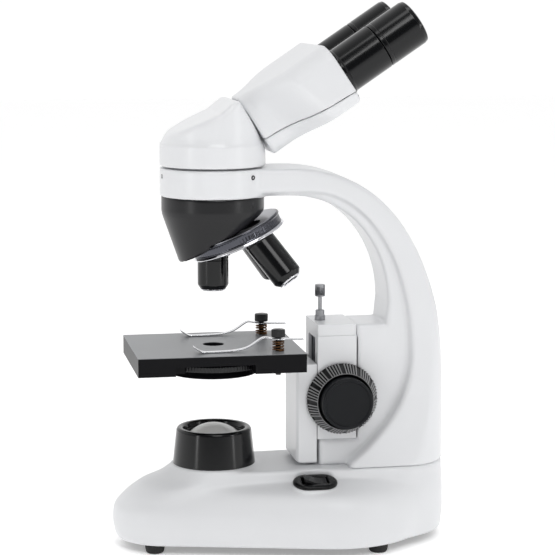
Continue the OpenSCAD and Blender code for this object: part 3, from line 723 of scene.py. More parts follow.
@dataclass
class Lamp:
    """The lamp's turned housing, a frosted dome and its retaining ring."""

    foot: float = 58.6
    rim: float = 85.6

    def build(self) -> None:
        """Turns the housing, the ring and the dome."""
        outline = [(17, self.foot), (30.2, self.foot), (27.4, self.rim - 1.6), (26.2, self.rim),
                   (23.0, self.rim), (21.7, 82),
                   (21.6, 76.7), (17, 76.7)]
        housing = lathe("lamp_cone", filleted(outline, [0.4, 0.9, 1.6, 1.5, 1.6, 1.0, 0.3, 0.3], closed=True),
                        Place((0, AXIS_Y, 0)), 128, closed=True)
        fit(housing, Look.BLACK_LACQUER, "stand", "black_gloss", "lamp_housing")
        ring = lathe("lens_retainer", filleted([(19.9, 79.5), (21.45, 79.3), (21.45, 81.8), (20.6, 81.8)],
                                               0.25, closed=True),
                     Place((0, AXIS_Y, 0)), 96, closed=True)
        fit(ring, Look.BLACK_SATIN, "stand", "black_satin", "lens_ring")
        angle = np.linspace(math.radians(42.3), math.radians(90), 14)
        dome = np.stack([26.5 * np.cos(angle), 61.6 + 26.5 * np.sin(angle)], -1)
        glass = lathe("condenser_dome", np.vstack([[(0, 76.7), (21.0, 76.7), (21.4, 77.1), (21.4, 79.0)],
                                                   dome]),
                      Place((0, AXIS_Y, 0)), 96)
        fit(glass, Look.FROSTED_GLASS, "stand", "frosted_glass", "collector_lens")


def rounded_outline(half_x: float, half_y: float, radius: float, steps: int = 64) -> Array:
    """Outline of a rounded rectangle, as points at even turns of its normal.

    Args:
        half_x: Half its width.
        half_y: Half its depth.
        radius: Radius of its corners.
        steps: Points all round, a multiple of four.

    Returns:
        Points of x and y, one a row.
    """
    quarter = np.linspace(0, math.pi / 2, steps // 4)
    turn = np.concatenate([quarter + i * math.pi / 2 for i in range(4)])
    sx = np.repeat([1, -1, -1, 1], steps // 4)
    sy = np.repeat([1, 1, -1, -1], steps // 4)
    return np.stack([sx * (half_x - radius) + radius * np.cos(turn),
                     sy * (half_y - radius) + radius * np.sin(turn)], -1)


@dataclass
class PowerSwitch:
    """The oval bezel and its rocker on the right shoulder of the base."""

    rows: Sequence[Vec] = (
        (10.8, 16.2, 10.8, 0.0), (10.8, 16.2, 10.8, 0.9), (10.6, 16.0, 10.6, 1.5), (10.1, 15.5, 10.1, 2.05),
        (9.4, 14.8, 9.4, 2.35), (8.6, 13.6, 7.0, 2.4), (6.1, 10.6, 1.8, 2.4), (5.6, 10.0, 1.3, 2.2),
        (5.3, 9.7, 1.0, 1.7),
        (5.25, 9.6, 0.9, -6.0), (6.4, 10.7, 0.9, -6.0), (6.4, 10.7, 0.9, 0.0))

    def build(self) -> None:
        """Makes the bezel from rounded outlines stacked along its axis, and the rocker as a crowned wedge."""
        grid = np.stack([np.column_stack([rounded_outline(hx, hy, r), np.full(64, z)])
                         for hx, hy, r, z in self.rows])
        bezel = surface("switch_frame", SWITCH_PLACE.apply(grid), wrap_rows=True)
        fit(bezel, Look.BLACK_ABS, "stand", "black_gloss", "switch_bezel")
        outline = filleted([(-8.3, -4), (-8.3, 5.4), (-5.4, 4.7), (0, 2.3), (5.2, 1.6), (8.3, 2.1),
                            (8.3, -4)],
                           [0.3, 0.9, 3, 6, 6, 0.7, 0.3], closed=True)
        middle = np.array([0.0, 0.6])
        across = np.array([-4.95, -4.8, -4.4, -3.6, 0.0, 3.6, 4.4, 4.8, 4.95])
        shrink = np.array([0.93, 0.97, 0.99, 1.0, 1.0, 1.0, 0.99, 0.97, 0.93])
        rows = [np.column_stack([np.full(len(outline), a), middle + (outline - middle) * k])
                for a, k in zip(across, shrink)]
        ends = [np.broadcast_to([a, *middle], rows[0].shape) for a in (-4.95, 4.95)]
        rocker = surface("switch_key", SWITCH_PLACE.apply(np.stack([ends[0], *rows, ends[1]])))
        fit(rocker, Look.BLACK_ABS, "switch", "black_gloss", "switch_rocker")


@dataclass
class Arm:
    """The C-shaped casting: a web, a broad outer flange that flares into the foot, and the ring on top.

    Attributes:
        outer: Bezier of the back, as (Y, Z).
        inner: Bezier of the bow's inner edge.
        crease: Bezier of the line where the flange meets the web.
        crease_low: The same line from the back down to the foot.
        half_web: Half the thickness of the web.
        cell: Mesh size.
    """

    outer: Sequence[Vec] = ((5, 275.5), (74.9, 275.5), (122.6, 218.7), (122.6, 75))
    inner: Sequence[Vec] = ((2.8, 256), (53.7, 256), (77, 212.4), (77, 177))
    crease: Sequence[Vec] = ((20, 258), (59, 258), (93.5, 209.2), (93.5, 140))
    crease_low: Sequence[Vec] = ((93.5, 140), (93.5, 103.8), (68.6, 77.7), (47.7, 62.1))
    half_web: float = 22.0
    cell: float = 1.7
    web: Array = field(init=False)
    flange: Array = field(init=False)
    widths: Array = field(init=False)

    def __post_init__(self) -> None:
        """Works out the two side outlines and the flange's half-width at each height."""
        back = bezier(self.outer, 28)
        self.web = np.vstack([bezier(self.inner, 24), [(75.4, 161.4), (53.8, 161.4), (53.8, 77.5),
                                                       (26.5, 77.5), (26.5, 50),
                              (120.6, 50)], back[::-1] - (2, 1), [(AXIS_Y, 274.5), (AXIS_Y, 256)]])
        self.flange = np.vstack([bezier(self.crease, 24), bezier(self.crease_low, 20)[1:],
                                 [(43, 50), (122.6, 50)],
                                 back[::-1], [(AXIS_Y, 275.5), (AXIS_Y, 258)]])
        low = bezier([(38, 50), (33.5, 75), (28, 100), (27, 150)], 12)
        high = bezier([(27, 150), (27, 200), (26, 240), (26, 290)], 8)
        self.widths = np.vstack([low, high[1:]])

    def distance(self, x: Array, y: Array, z: Array) -> Array:
        """Web, flange and ring blended by small fillets, within the round heel and above the base."""
        web = rounded_pair(np.abs(x) - self.half_web, polygon_distance(self.web, y, z), 3.0)
        half = np.interp(z, self.widths[:, 1], self.widths[:, 0])
        flange = rounded_pair(np.abs(x) - half, polygon_distance(self.flange, y, z), 3.2)
        body = soft_min(web, flange, 3.0)
        ring = rounded_pair(np.hypot(x, y - AXIS_Y) - 38, np.abs(z - 265.4) - 10.1, 1.0)
        body = soft_min(body, ring, 4.0)
        body = np.maximum(body, np.abs(z - 165.5) - 110)
        heel = np.where(y < 84.6, np.abs(x) - 38, np.hypot(x, y - 84.6) - 38)
        body = soft_max(body, heel, 2.0)
        pocket = np.maximum(np.maximum(np.abs(x) - 19.4, y - 70), np.abs(z - 114.2) - 36.7)
        body = np.maximum(body, -pocket)
        return np.maximum(np.maximum(body, 58.0 - z), 30 - np.hypot(x, y - AXIS_Y))

    def build(self) -> None:
        """Makes the casting and the small set screws round its ring."""
        casting = net_surface("arm_casting", self.distance, (-39, -87, 57), (39, 123, 277), self.cell)
        fit(casting, Look.WHITE_ENAMEL, "stand", "white_paint", "arm")
        profile = filleted([(0, 37.2), (0.8, 37.2), (0.8, 38.0), (1.7, 38.15), (1.7, 36.0), (0, 36.0)],
                           [0, 0.1, 0.2, 0.2, 0, 0])
        for i, angle in enumerate((40, 160, 280)):
            out = rotation("Z", angle)[:, 0]
            raise_by = 0.5 if angle == 40 else 0.0
            screw = lathe(f"ring_set_screw_{i + 1}", profile + (0, raise_by),
                          Place((0, AXIS_Y, 270), tuple(out), (0, 0, 1)), 24)
            fit(screw, Look.BLACK_SATIN, "stand", "bright_steel", *(["arm_set_screws"] if i == 0 else []))


@dataclass
class FocusUnit:
    """The focus housing, its block and gears, and the knobs on both sides."""

    knob_y: float = 42.5
    knob_z: float = 107.7
    coarse_radius: float = 26.5

    def knob_place(self, side: int) -> Place:
        """The knobs' axis, pointing out of the housing on that side."""
        return Place((0, self.knob_y, self.knob_z), (side, 0, 0), (0, 0, 1))

    def flank(self, height: Array) -> Array:
        """Radius of the coarse knob's tapered flank over the rib crests."""
        return np.interp(height, [24.7, 37.0], [self.coarse_radius, 21.2])

    def ribs(self, radius: Array, height: Array, angle: Array) -> Array:
        """72 ribs with every sixth left out: grooves 1.3 mm deep between them, on the flank only."""
        turn = angle / (2 * math.pi) * 72
        rib = np.floor(turn) % 6 != 0
        wave = 0.5 + 0.5 * np.cos(2 * math.pi * (turn - np.floor(turn) - 0.5))
        crest = np.where(rib, smooth_step(wave * 1.7 - 0.3), 0.0)
        rim = smooth_step((height - 24.3) / 0.5) * smooth_step((37.4 - height) / 0.5)
        rim = rim * smooth_step((radius - self.flank(height) + 0.8) / 0.5)
        return radius - 1.3 * rim * (1 - crest)

    def build(self) -> None:
        """Turns the knobs and dresses the housing, the block and the gears."""
        fine = filleted([(0, 33.7), (17.6, 33.7), (18.5, 34.6), (18.5, 45.2), (17.9, 46), (16.6, 46),
                         (15.9, 45.1), (4, 44.8), (0, 44.8)],
                        [0, 0.6, 0.6, 0.7, 0.5, 0.5, 0.5, 1, 0])
        for side, name in ((-1, "left"), (1, "right")):
            knob = lathe(f"coarse_wheel_{name}", self.coarse_profile(), self.knob_place(side), 72 * 8,
                         self.ribs, closed=True)
            fit(knob, Look.BLACK_ABS, "coarse_drive", "black_satin", f"coarse_knob_{name}")
            # Painted highlight: the rib crests are coloured grey where they catch the light.
            knob.data.materials[0] = self.rib_crest_highlight()
            disc = lathe(f"fine_wheel_{name}", fine, self.knob_place(side), 128)
            fit(disc, Look.CHARCOAL_ABS, "fine_drive", "charcoal", f"fine_knob_{name}")
        dress_node("focus_housing", Look.WHITE_ENAMEL, 0.9)
        dress_node("housing_cap", Look.WHITE_ENAMEL, 0.8)
        dress_node("carriage", Look.WHITE_ENAMEL, 0.6)
        dress_node("dovetail_slide", Look.TURNED_STEEL, 0.2)
        dress_node("focus_rack", Look.BRASS)
        dress_node("cam_gear", Look.BRASS)
        dress_node("fine_block", Look.ALUMINIUM, 0.3)
        for name in ("fine_guide_rods", "cam_stop_pin", "cam_axle", "coarse_shaft_left", "coarse_shaft_right",
                     "fine_shaft"):
            dress_node(name, Look.TURNED_STEEL)

    def rib_crest_highlight(self) -> bpy.types.Material:
        """Black ABS with a painted highlight: the rib crests are coloured a light grey where they catch the
        light; the rest keeps its moulded black.
        """
        made = bpy.data.materials.get("worn_abs_finish")
        if made:
            return made
        made = Finish("worn_abs", "0A0A0C", 0.32, specular=0.3, grain_mm=0.6, grain_depth=0.004,
                      variation=0.06).material()
        tree = made.node_tree
        shader = next(n for n in tree.nodes if n.type == "BSDF_PRINCIPLED")
        place = next(n for n in tree.nodes if n.type == "TEX_COORD").outputs["Object"]
        centred = add_node(tree, "ShaderNodeMapping", {
            "Vector": place, "Location": (0, -self.knob_y * MM, -self.knob_z * MM),
            "Scale": (0.0, 1.0, 1.0)}).outputs["Vector"]
        radius = add_node(tree, "ShaderNodeVectorMath", {0: centred}, operation="LENGTH").outputs["Value"]
        out = add_node(tree, "ShaderNodeSeparateXYZ", {0: place}).outputs["X"]
        out = add_node(tree, "ShaderNodeMath", {0: out}, operation="ABSOLUTE").outputs["Value"]
        taper = (self.coarse_radius - 21.2) / 12.3
        level = add_node(tree, "ShaderNodeMath", {0: out, 1: taper, 2: radius},
                         operation="MULTIPLY_ADD").outputs["Value"]
        crown = self.coarse_radius + 24.7 * taper
        crest = add_node(tree, "ShaderNodeMapRange", {
            "Value": level, "From Min": (crown - 0.7) * MM,
            "From Max": (crown - 0.15) * MM}).outputs["Result"]
        was = shader.inputs["Base Color"].links[0].from_socket
        # Painted highlight: light grey 8A8A8B on the crests, moulded black elsewhere.
        mix = add_node(tree, "ShaderNodeMix", {0: crest, 6: was, 7: linear("8A8A8B")}, data_type="RGBA")
        tree.links.new(mix.outputs[2], shader.inputs["Base Color"])
        return made

    def coarse_profile(self) -> Array:
        """The coarse knob's section, with extra rings along its ribbed rim."""
        r = self.coarse_radius
        rim = [(float(self.flank(z)), z) for z in np.linspace(24.9, 36.8, 11)]
        return np.array([(5.05, 24.2), (5.3, 24), (r - 1.6, 24), (r - 0.7, 24.1), (r - 0.15, 24.5), *rim,
                         (21.0, 37.3), (20.8, 37.55),
                         (20.6, 37.6), (20.3, 37.6), (19.9, 37.5), (19.6, 37.1), (19.5, 36.6), (19.4, 31.4),
                         (19.2, 31.1), (18.8, 31), (5.3, 31),
                         (5.05, 30.8)])


@dataclass
class Stage:
    """The stage plate with its disc diaphragm, slide clips, springs and nuts."""

    top: float = 146.5
    post: tuple[float, float] = (35.0, -6.5)
    turns: float = 4.5

    def plate_material(self) -> bpy.types.Material:
        """Hard-anodised black plate: its top face is painted a satin grey that stands for the light it
        reflects at a grazing angle, and its milled sides are glossy black.
        """
        grey = Finish("plate_top_painted_reflection", "787A7D", 0.36, grain_mm=0.5, grain_depth=0.004,
                      variation=0.06).material()
        tree = grey.node_tree
        shader = next(n for n in tree.nodes if n.type == "BSDF_PRINCIPLED")
        place = next(n for n in tree.nodes if n.type == "TEX_COORD").outputs["Object"]
        height = add_node(tree, "ShaderNodeSeparateXYZ", {0: place}).outputs["Z"]
        face = add_node(tree, "ShaderNodeMapRange", {
            "Value": height, "From Min": (self.top - 0.5) * MM,
            "From Max": (self.top - 0.15) * MM}).outputs["Result"]
        was = shader.inputs["Base Color"].links[0].from_socket
        # Painted reflection: the top face takes the grey, the sides keep the plate's own black.
        mix = add_node(tree, "ShaderNodeMix", {0: face, 6: linear("0A0A0D"), 7: was}, data_type="RGBA")
        tree.links.new(mix.outputs[2], shader.inputs["Base Color"])
        gloss = add_node(tree, "ShaderNodeMapRange",
                         {"Value": face, "To Min": 0.12, "To Max": 0.6}).outputs["Result"]
        tree.links.new(gloss, shader.inputs["Specular IOR Level"])
        return grey

    def disc(self) -> None:
        """The diaphragm disc with its row of holes, and a finely knurled rim pressed over its edge."""
        knurl = knurled(134.3, 138.1, 0.3, 37.3, 0.36, 110)
        rim = [(37.95, z) for z in (134.7, 135.4, 137.0, 137.7)]
        profile = np.array([(34.9, 134.1), (37.2, 134.1), (37.7, 134.2), *rim, (37.7, 138.2), (37.2, 138.3),
                            (34.9, 138.3)])
        ring = lathe("aperture_rim", profile, Place((10.0, AXIS_Y - 2, 0)), 880, knurl, closed=True)
        fit(ring, Look.BLACK_SATIN, "diaphragm", "black_satin")
        dress_node("diaphragm_disc", Look.BLACK_SATIN, 0.25)

    def clip(self, side: int, name: str) -> None:
        """A strip of spring steel along Y: over its post, down to the slide, and up again at its tip.

        The centre line is a smooth curve through its bends, and the section is a rounded strip whose
        width grows at the post and again at the tip.
        """
        line = through([(11.5, 154.3), (4, 154.7), (-6.5, 155.2), (-11.6, 155.7), (-16.3, 156.4),
                        (-19.5, 155.3), (-27.3, 150.3),
                        (-34, 148.3), (-42, 147.4), (-57, 147.1), (-61.2, 147.5), (-64.5, 149.2),
                        (-67.4, 151.2)], 8)
        path = np.column_stack([np.full(len(line), side * self.post[0]), line])
        ring = rounded_outline(1.0, 1.0, 0.45, 24)

        def section(share: Array) -> Array:
            y = np.interp(share, np.linspace(0, 1, len(line)), line[:, 0])
            half = 2.6 + 2.0 * np.exp(-(((y + 6.5) / 4.2) ** 2)) + 1.4 * smooth_step((-58 - y) / 5)
            return np.stack([half[:, None] * ring[None, :, 0],
                             np.broadcast_to(0.48 * ring[:, 1], (len(y), len(ring)))], -1)

        strip = sweep(f"slide_clip_{name}", path, section, (0, 0, 1))
        fit(strip, Look.SPRING_STEEL, f"{name}_clip", "chrome", f"clip_{name}")

    def spring(self, side: int, name: str) -> bpy.types.Object:
        """A wound spring round the post: a round wire along a helix whose end coils lie flat."""
        turn = np.linspace(0, self.turns, 220)
        rise = smooth_step((turn - 0.4) / (self.turns - 0.8)) * 0.55 + 0.45 * turn / self.turns
        angle = turn * 2 * math.pi
        path = np.stack([side * self.post[0] + 3.9 * np.cos(angle), self.post[1] + 3.9 * np.sin(angle),
                         self.top + 0.5 + 6.6 * rise], -1)
        circle = np.linspace(0, 2 * math.pi, 12, endpoint=False)
        ring = 0.5 * np.stack([np.cos(circle), np.sin(circle)], -1)
        return sweep(f"clip_spring_{name}", path, lambda s: np.broadcast_to(ring, (len(s), *ring.shape)),
                     (0, 0, 1))

    def nut(self, side: int, name: str) -> bpy.types.Object:
        """A knurled nut on its threaded post, with a slotted end that stands a little proud."""
        knurl = knurled(156.7, 161.7, 0.4, 4.3, 0.35, 24)
        rim = [(4.95, z) for z in (157.0, 157.4, 159.2, 161.0, 161.4)]
        profile = np.array([(0, 129.2), (1.8, 129.2), (1.95, 129.4), (1.95, 156.4), (4.2, 156.4),
                            (4.8, 156.6), *rim, (4.75, 161.9), (4.2, 162.1),
                            (2.3, 162.1), (2.1, 162.2), (0, 162.2)])
        return lathe(f"clip_nut_{name}", profile, Place((side * self.post[0], self.post[1], 0)), 96, knurl)

    def build(self) -> None:
        """Dresses the plate and the disc, and makes the clips, springs and nuts."""
        plate = dress_node("stage_plate", Look.BLACK_SATIN, 0.7)
        material = self.plate_material()
        for slot in plate.material_slots:
            slot.material = material
        dress_node("stage_screws", Look.TURNED_STEEL, 0.3)
        self.disc()
        dress_node("diaphragm_screw", Look.TURNED_STEEL, 0.2)
        for side, name in ((-1, "left"), (1, "right")):
            self.clip(side, name)
            fit(self.spring(side, name), Look.BRONZE_WIRE, "stage", "brass",
                *(["clip_springs"] if side > 0 else []))
            fit(self.nut(side, name), Look.BLACK_SATIN, "stage", "black_anodised",
                *(["clip_posts"] if side > 0 else []))


@dataclass
class StopScrew:
    """The knurled screw that limits the stage's height, and its lock nut."""

    y: float = 31.0

    def build(self) -> None:
        """Turns the screw and the nut."""
        knurl = knurled(179.9, 188.0, 0.4, 3, 0.3, 20)
        turn = np.linspace(152.6, 178.8, 75)
        thread = np.column_stack([1.42 + 0.12 * np.cos(turn * 2 * math.pi / 0.7), turn])
        head = filleted([(1.5, 179.3), (3.7, 179.6), (3.7, 188.3), (0, 188.4)], [0.2, 0.5, 0.6, 0])
        head = np.vstack([head[:6], [(3.7, z) for z in (180.6, 184, 187.2)], head[6:]])
        profile = np.vstack([[(0, 152.4)], thread, head])
        profile = profile[np.concatenate([[True], np.diff(profile[:, 1]) > -0.5])]
        screw = lathe("height_screw", profile, Place((0, self.y, 0)), 80, knurl)
        fit(screw, Look.TURNED_STEEL, "height_stop", "bright_steel", "stop_screw")
        nut = filleted([(1.62, 162), (3.85, 162), (3.85, 165.4), (3.3, 165.9), (3.3, 169.5), (1.62, 169.5)],
                       [0.1, 0.4, 0.2, 0.2, 0.4, 0.1], closed=True)
        fit(lathe("height_nut", nut, Place((0, self.y, 0)), 64, closed=True), Look.TURNED_STEEL,
            "stand", "bright_steel",
            "stop_lock_nut")


@dataclass
class Nosepiece:
    """The black shell under the arm, the chrome turret and its three objectives."""

    mouth: float = -37.4
    seat: float = 53.0
    lengths: tuple[float, ...] = (25.4, 38.6, 43.0)
    tips: tuple[float, ...] = (7.4, 6.6, 5.6)
    names: tuple[str, ...] = ("low", "medium", "high")

    def shell_distance(self, x: Array, y: Array, z: Array) -> Array:
        """A cone under a short cylinder, with a sloping mouth, room for the turret and a light bore."""
        out = np.hypot(x, y - AXIS_Y)
        radius = np.interp(z, [205, 239, 242, 245, 256], [23.6, 35.5, 36.5, 37.0, 37.0])
        slope = math.sin(math.radians(TURRET_TILT)), math.cos(math.radians(TURRET_TILT))
        along = -(y - AXIS_Y) * slope[0] + (z - 265) * slope[1]
        across = np.hypot(x, (y - AXIS_Y) * slope[1] + (z - 265) * slope[0])
        body = soft_max(soft_max(out - radius, z - 255.3, 1.0), (252.4 + 0.6227 * y - z) * 0.849, 1.2)
        body = soft_max(body, -np.maximum(across - 36.2, along - self.mouth), 1.2)
        return np.maximum(body, 12 - out)

    def grip(self) -> None:
        """The turret's band: a fluted, coved chrome ring, darkened to paint the dark reflections it shows,
        over a flared lip of bright chrome.
        """
        flutes = knurled(-44.6, -38.8, 0.5, 33.5, 0.14, 90)
        profile = filleted([(33.3, -45.4), (34.4, -45.2), (33.9, -44.2), (33.9, -40.2), (34.7, -39),
                            (34.5, -38.1), (33.3, -38.1)],
                           [0.2, 0.4, 1.4, 1.6, 0.4, 0.4, 0.2], closed=True)
        # Painted reflection: the band's chrome is darkened for the dark surroundings it reflects.
        fit(lathe("turret_band", profile, TURRET_PLACE, 720, flutes, closed=True), Look.CHROME_PAINTED_DARK,
            "nosepiece", "chrome", "turret_grip")
        lip = filleted([(33.3, -47.4), (34.7, -47.6), (35.5, -46.8), (34.3, -45.3), (33.3, -45.3)],
                       [0.2, 0.5, 0.5, 0.6, 0.2], closed=True)
        fit(lathe("turret_lip", lip, TURRET_PLACE, 144, closed=True), Look.CHROME, "nosepiece", "chrome")

    def objective(self, index: int) -> None:
        """One objective: a lacquered barrel with two shallow grooves, a bright front ring and its lens."""
        turn = TURRET_TURN @ rotation("Z", 120 * index) @ rotation("X", -TURRET_TILT)
        place = Place(tuple(TURRET_APEX - self.seat * turn[:, 2]), tuple(turn[:, 2]), tuple(turn[:, 0]))
        name, length, tip = self.names[index], self.lengths[index], self.tips[index]
        barrel = filleted([
            (6.0, 8), (9.4, 8), (9.4, -0.05), (11.2, -0.05), (11.2, -2.6), (10.9, -2.9), (10.9, -3.3),
            (11.2, -3.6),
            (11.2, 4 - length), (tip + 1.9, 1.0 - length), (tip + 0.4, 1.0 - length),
            (6.0 - 0.4 * index, 2.4 - length), (5.6 - 0.6 * index, 5 - length),
            (5.6 - 0.6 * index, 6)], [0.2, 0.4, 0.1, 0.4, 0.12, 0.08, 0.08, 0.12, 1.6, 0.3, 0.2, 0.3, 0.3,
                                      0.2], closed=True)
        fit(lathe(f"barrel_{name}", barrel, place, 96, closed=True), Look.BLACK_LACQUER, "nosepiece",
            "black_gloss", f"objective_{name}")
        ring = filleted([(tip - 0.9, 0.9 - length), (tip + 2.0, 1.05 - length), (tip + 1.5, -length),
                         (tip - 0.2, -length)], [0.2, 0.3, 0.4, 0.3],
                        closed=True)
        fit(lathe(f"front_ring_{name}", ring, place, 72, closed=True), Look.CHROME, "nosepiece", "chrome")
        angle = np.linspace(0, math.pi / 2, 8)
        lens_r = 5.0 - 0.6 * index
        lens = np.vstack([[(0, 6.5 - length), (lens_r, 6.5 - length)],
                          np.stack([lens_r * np.cos(angle), 4.6 - length - 1.2 * np.sin(angle)], -1)])
        fit(lathe(f"front_lens_{name}", lens, place, 48), Look.CLEAR_GLASS, "nosepiece", "lens_glass")

    def build(self) -> None:
        """Makes the shell, the turret and the objectives."""
        shell = net_surface("nosepiece_cone", self.shell_distance, (-38, -86, 206), (38, -10, 256), 1.2)
        fit(shell, Look.BLACK_SATIN, "stand", "black_satin", "nosepiece_shell")
        screw = lathe("nosepiece_set_screw", filleted([(0, 36.3), (0.9, 36.3), (0.9, 37.0), (1.8, 37.12),
                                                       (1.8, 35.0), (0, 35.0)], [0, 0.1, 0.2, 0.2, 0, 0]),
                      Place((0, AXIS_Y, 250), tuple(rotation("Z", 40)[:, 0]), (0, 0, 1)), 24)
        fit(screw, Look.BLACK_SATIN, "stand", "bright_steel")
        dress_node("turret", Look.SATIN_CHROME, 0.3)
        cap = filleted([(0, -50.0), (5.8, -50.0), (7.0, -49.4), (7.0, -47.6), (3.0, -47.6), (3.0, -14),
                        (0, -14)], [0, 0.8, 0.6, 0.2, 0.2, 0.3, 0])
        fit(lathe("turret_centre_screw", cap, TURRET_PLACE, 64), Look.CHROME, "nosepiece", "chrome",
            "turret_screw")
        self.grip()
        for index in range(3):
            self.objective(index)


@dataclass
class Head:
    """The binocular head: a round body with a slanted top, and the inclined housing on it.

    Attributes:
        half_back: Half the housing's width where it leaves the body.
        half_front: Half its width at the eyetubes.
        length: Its length along the tubes.
        height: Its height across them.
        wall: Thickness of the moulding.
    """

    half_back: float = 24.0
    half_front: float = 51.0
    length: float = 69.5
    height: float = 48.0
    wall: float = 2.0

    def housing(self, x: Array, u: Array, v: Array) -> Array:
        """Distance to the housing's outer skin in its own axes.

        The section is a rounded rectangle. Its half-width grows along u by a smooth step, which starts
        earlier at the top than at the bottom.
        """
        middle = 20 + 13 * (1 - v / self.height)
        half = self.half_back + (self.half_front - self.half_back) * smooth_step((u - middle + 17) / 34)
        radius = 12 + 2 * smooth_step(v / self.height)
        a = np.abs(x) - (half - radius)
        b = np.abs(v - self.height / 2) - (self.height / 2 - radius)
        section = np.hypot(np.maximum(a, 0), np.maximum(b, 0)) + np.minimum(np.maximum(a, b), 0) - radius
        return section

    def shell(self, x: Array, u: Array, v: Array) -> Array:
        """The moulding's wall with a rounded front rim and a closed back; it is open in front."""
        skin = self.housing(x, u, v)
        outer = rounded_pair(skin, np.abs(u - self.length / 2) - self.length / 2, 2.2)
        thick = self.wall + 0.2 + 2.0 * (1 - smooth_step((u - 46) / 10))
        return soft_max(outer, -np.maximum(skin + thick, 2.4 - u), 0.6)

    def part(self, u: Array) -> Array:
        """Height of the parting line, which falls towards the front."""
        return 14.0 - 6.4 * u / 90

    def body(self, x: Array, y: Array, z: Array) -> Array:
        """The round body: a cylinder, a small step, and a slanted top behind a soft ridge."""
        radius = np.interp(z, [270, 292.6, 293.4, 297, 330], [38, 38, 37.3, 36.5, 36.3])
        side = np.hypot(x, y - AXIS_Y) - radius
        top = np.array([(-90, 270), (-90, 295.0), (-84.2, 297), (-78.9, 301.2), (-63, 308.6), (-47, 315.7),
                        (-38.4, 322.8),
                        (-36.6, 323.9), (-33.2, 324), (-6.6, 285), (0, 270)])
        body = soft_max(side, polygon_distance(top, y, z), 4.0)
        body = soft_max(body, 277.0 - z, 0.8)
        u, v = self.own_axes(y, z)
        inside = np.maximum(self.housing(x, u, v) - 0.15, -u)
        body = np.maximum(body, -inside)
        spigot = np.maximum(np.hypot(x, y - AXIS_Y) - 29.9, np.abs(z - 275.2) - 2.7)
        return np.minimum(body, spigot)

    @staticmethod
    def own_axes(y: Array, z: Array) -> tuple[Array, Array]:
        """The point along and across the tubes."""
        c, s = math.cos(math.radians(HEAD_TILT)), math.sin(math.radians(HEAD_TILT))
        dy, dz = y - HEAD_CORNER[1], z - HEAD_CORNER[2]
        return dy * c + dz * s, -dy * s + dz * c

    def moulding(self, name: str, upper: bool) -> bpy.types.Object:
        """One half of the housing, cut a quarter of a millimetre from the parting line."""
        def distance(x: Array, u: Array, v: Array) -> Array:
            cut = self.part(u) + 0.25 - v if upper else v - self.part(u) + 0.25
            return soft_max(self.shell(x, u, v), cut, 0.25)

        low, high = ((-52, -1, 6), (52, 71, 49)) if upper else ((-52, -1, -1), (52, 71, 16))
        return net_surface(name, distance, low, high, 1.25, HEAD_PLACE)

    def build(self) -> None:
        """Makes the body and the two halves of the housing."""
        fit(net_surface("head_drum", self.body, (-39, -88, 271), (39, -5, 326), 1.3), Look.WHITE_ENAMEL,
            "head", "white_paint", "head_body")
        fit(self.moulding("prism_cover_upper", True), Look.WHITE_ABS, "head", "white_plastic",
            "head_upper_shell")
        fit(self.moulding("prism_cover_lower", False), Look.WHITE_ABS, "head", "white_plastic",
            "head_lower_cover")
        dress_node("head_front_plate", Look.BLACK_SATIN, 0.3)
        dress_node("prism_set", Look.CLEAR_GLASS, 0.3)


@dataclass
class Eyetubes:
    """The two sliding eyetubes with their eyepieces."""

    out: float = 31.0
    along: float = 69.5
    up: float = 23.4

    def place(self, side: int) -> Place:
        """The tube's axis, pointing at the eye."""
        origin = HEAD_CORNER + HEAD_TURN @ np.array([side * self.out, self.along, self.up])
        return Place(tuple(origin), tuple(HEAD_TURN[:, 1]), (1, 0, 0))

    def build(self) -> None:
        """Turns the tubes, the eyepieces and their lenses."""
        tube = filleted([
            (11.7, -11.8), (13.1, -11.8), (13.1, -4.6), (17.8, -4.6), (17.8, 1.9), (17.3, 2.9), (17.0, 3.2),
            (17.0, 32.9), (16.4, 33.5),
            (11.7, 33.5)], [0.2, 0.3, 0.2, 0.4, 0.8, 0.2, 0.2, 0.5, 0.3, 0.2], closed=True)
        eyepiece = filleted([
            (9.7, 12), (11.5, 12), (11.5, 33.8), (16.5, 33.8), (16.95, 34.2), (16.95, 36.3), (16.8, 36.6),
            (16.8, 37.1), (17.0, 37.4),
            (17.0, 62.2), (16.3, 64.8), (14.6, 65.6), (12.8, 65.2), (10.0, 63.2), (9.7, 62)],
            [0.2, 0.2, 0.2, 0.3, 0.3, 0.15, 0.1, 0.1, 0.15, 1.6, 0.9, 0.8, 1.0, 0.6, 0.4], closed=True)
        lens = np.array([(0, 59), (9.0, 59), (9.5, 59.4), (9.5, 61.4), (9.1, 61.8), (6, 62.5), (3, 62.9),
                         (0, 63)])
        for side, name in ((-1, "left"), (1, "right")):
            fit(lathe(f"eyetube_barrel_{name}", tube, self.place(side), 128, closed=True), Look.BLACK_LACQUER,
                f"{name}_eyetube", "black_gloss",
                f"eyetube_{name}")
            fit(lathe(f"ocular_{name}", eyepiece, self.place(side), 128, closed=True), Look.BLACK_LACQUER,
                f"{name}_eyepiece", "black_gloss",
                f"eyepiece_{name}")
            fit(lathe(f"ocular_lens_{name}", lens, self.place(side), 64), Look.CLEAR_GLASS,
                f"{name}_eyepiece", "lens_glass",
                f"eye_lens_{name}")


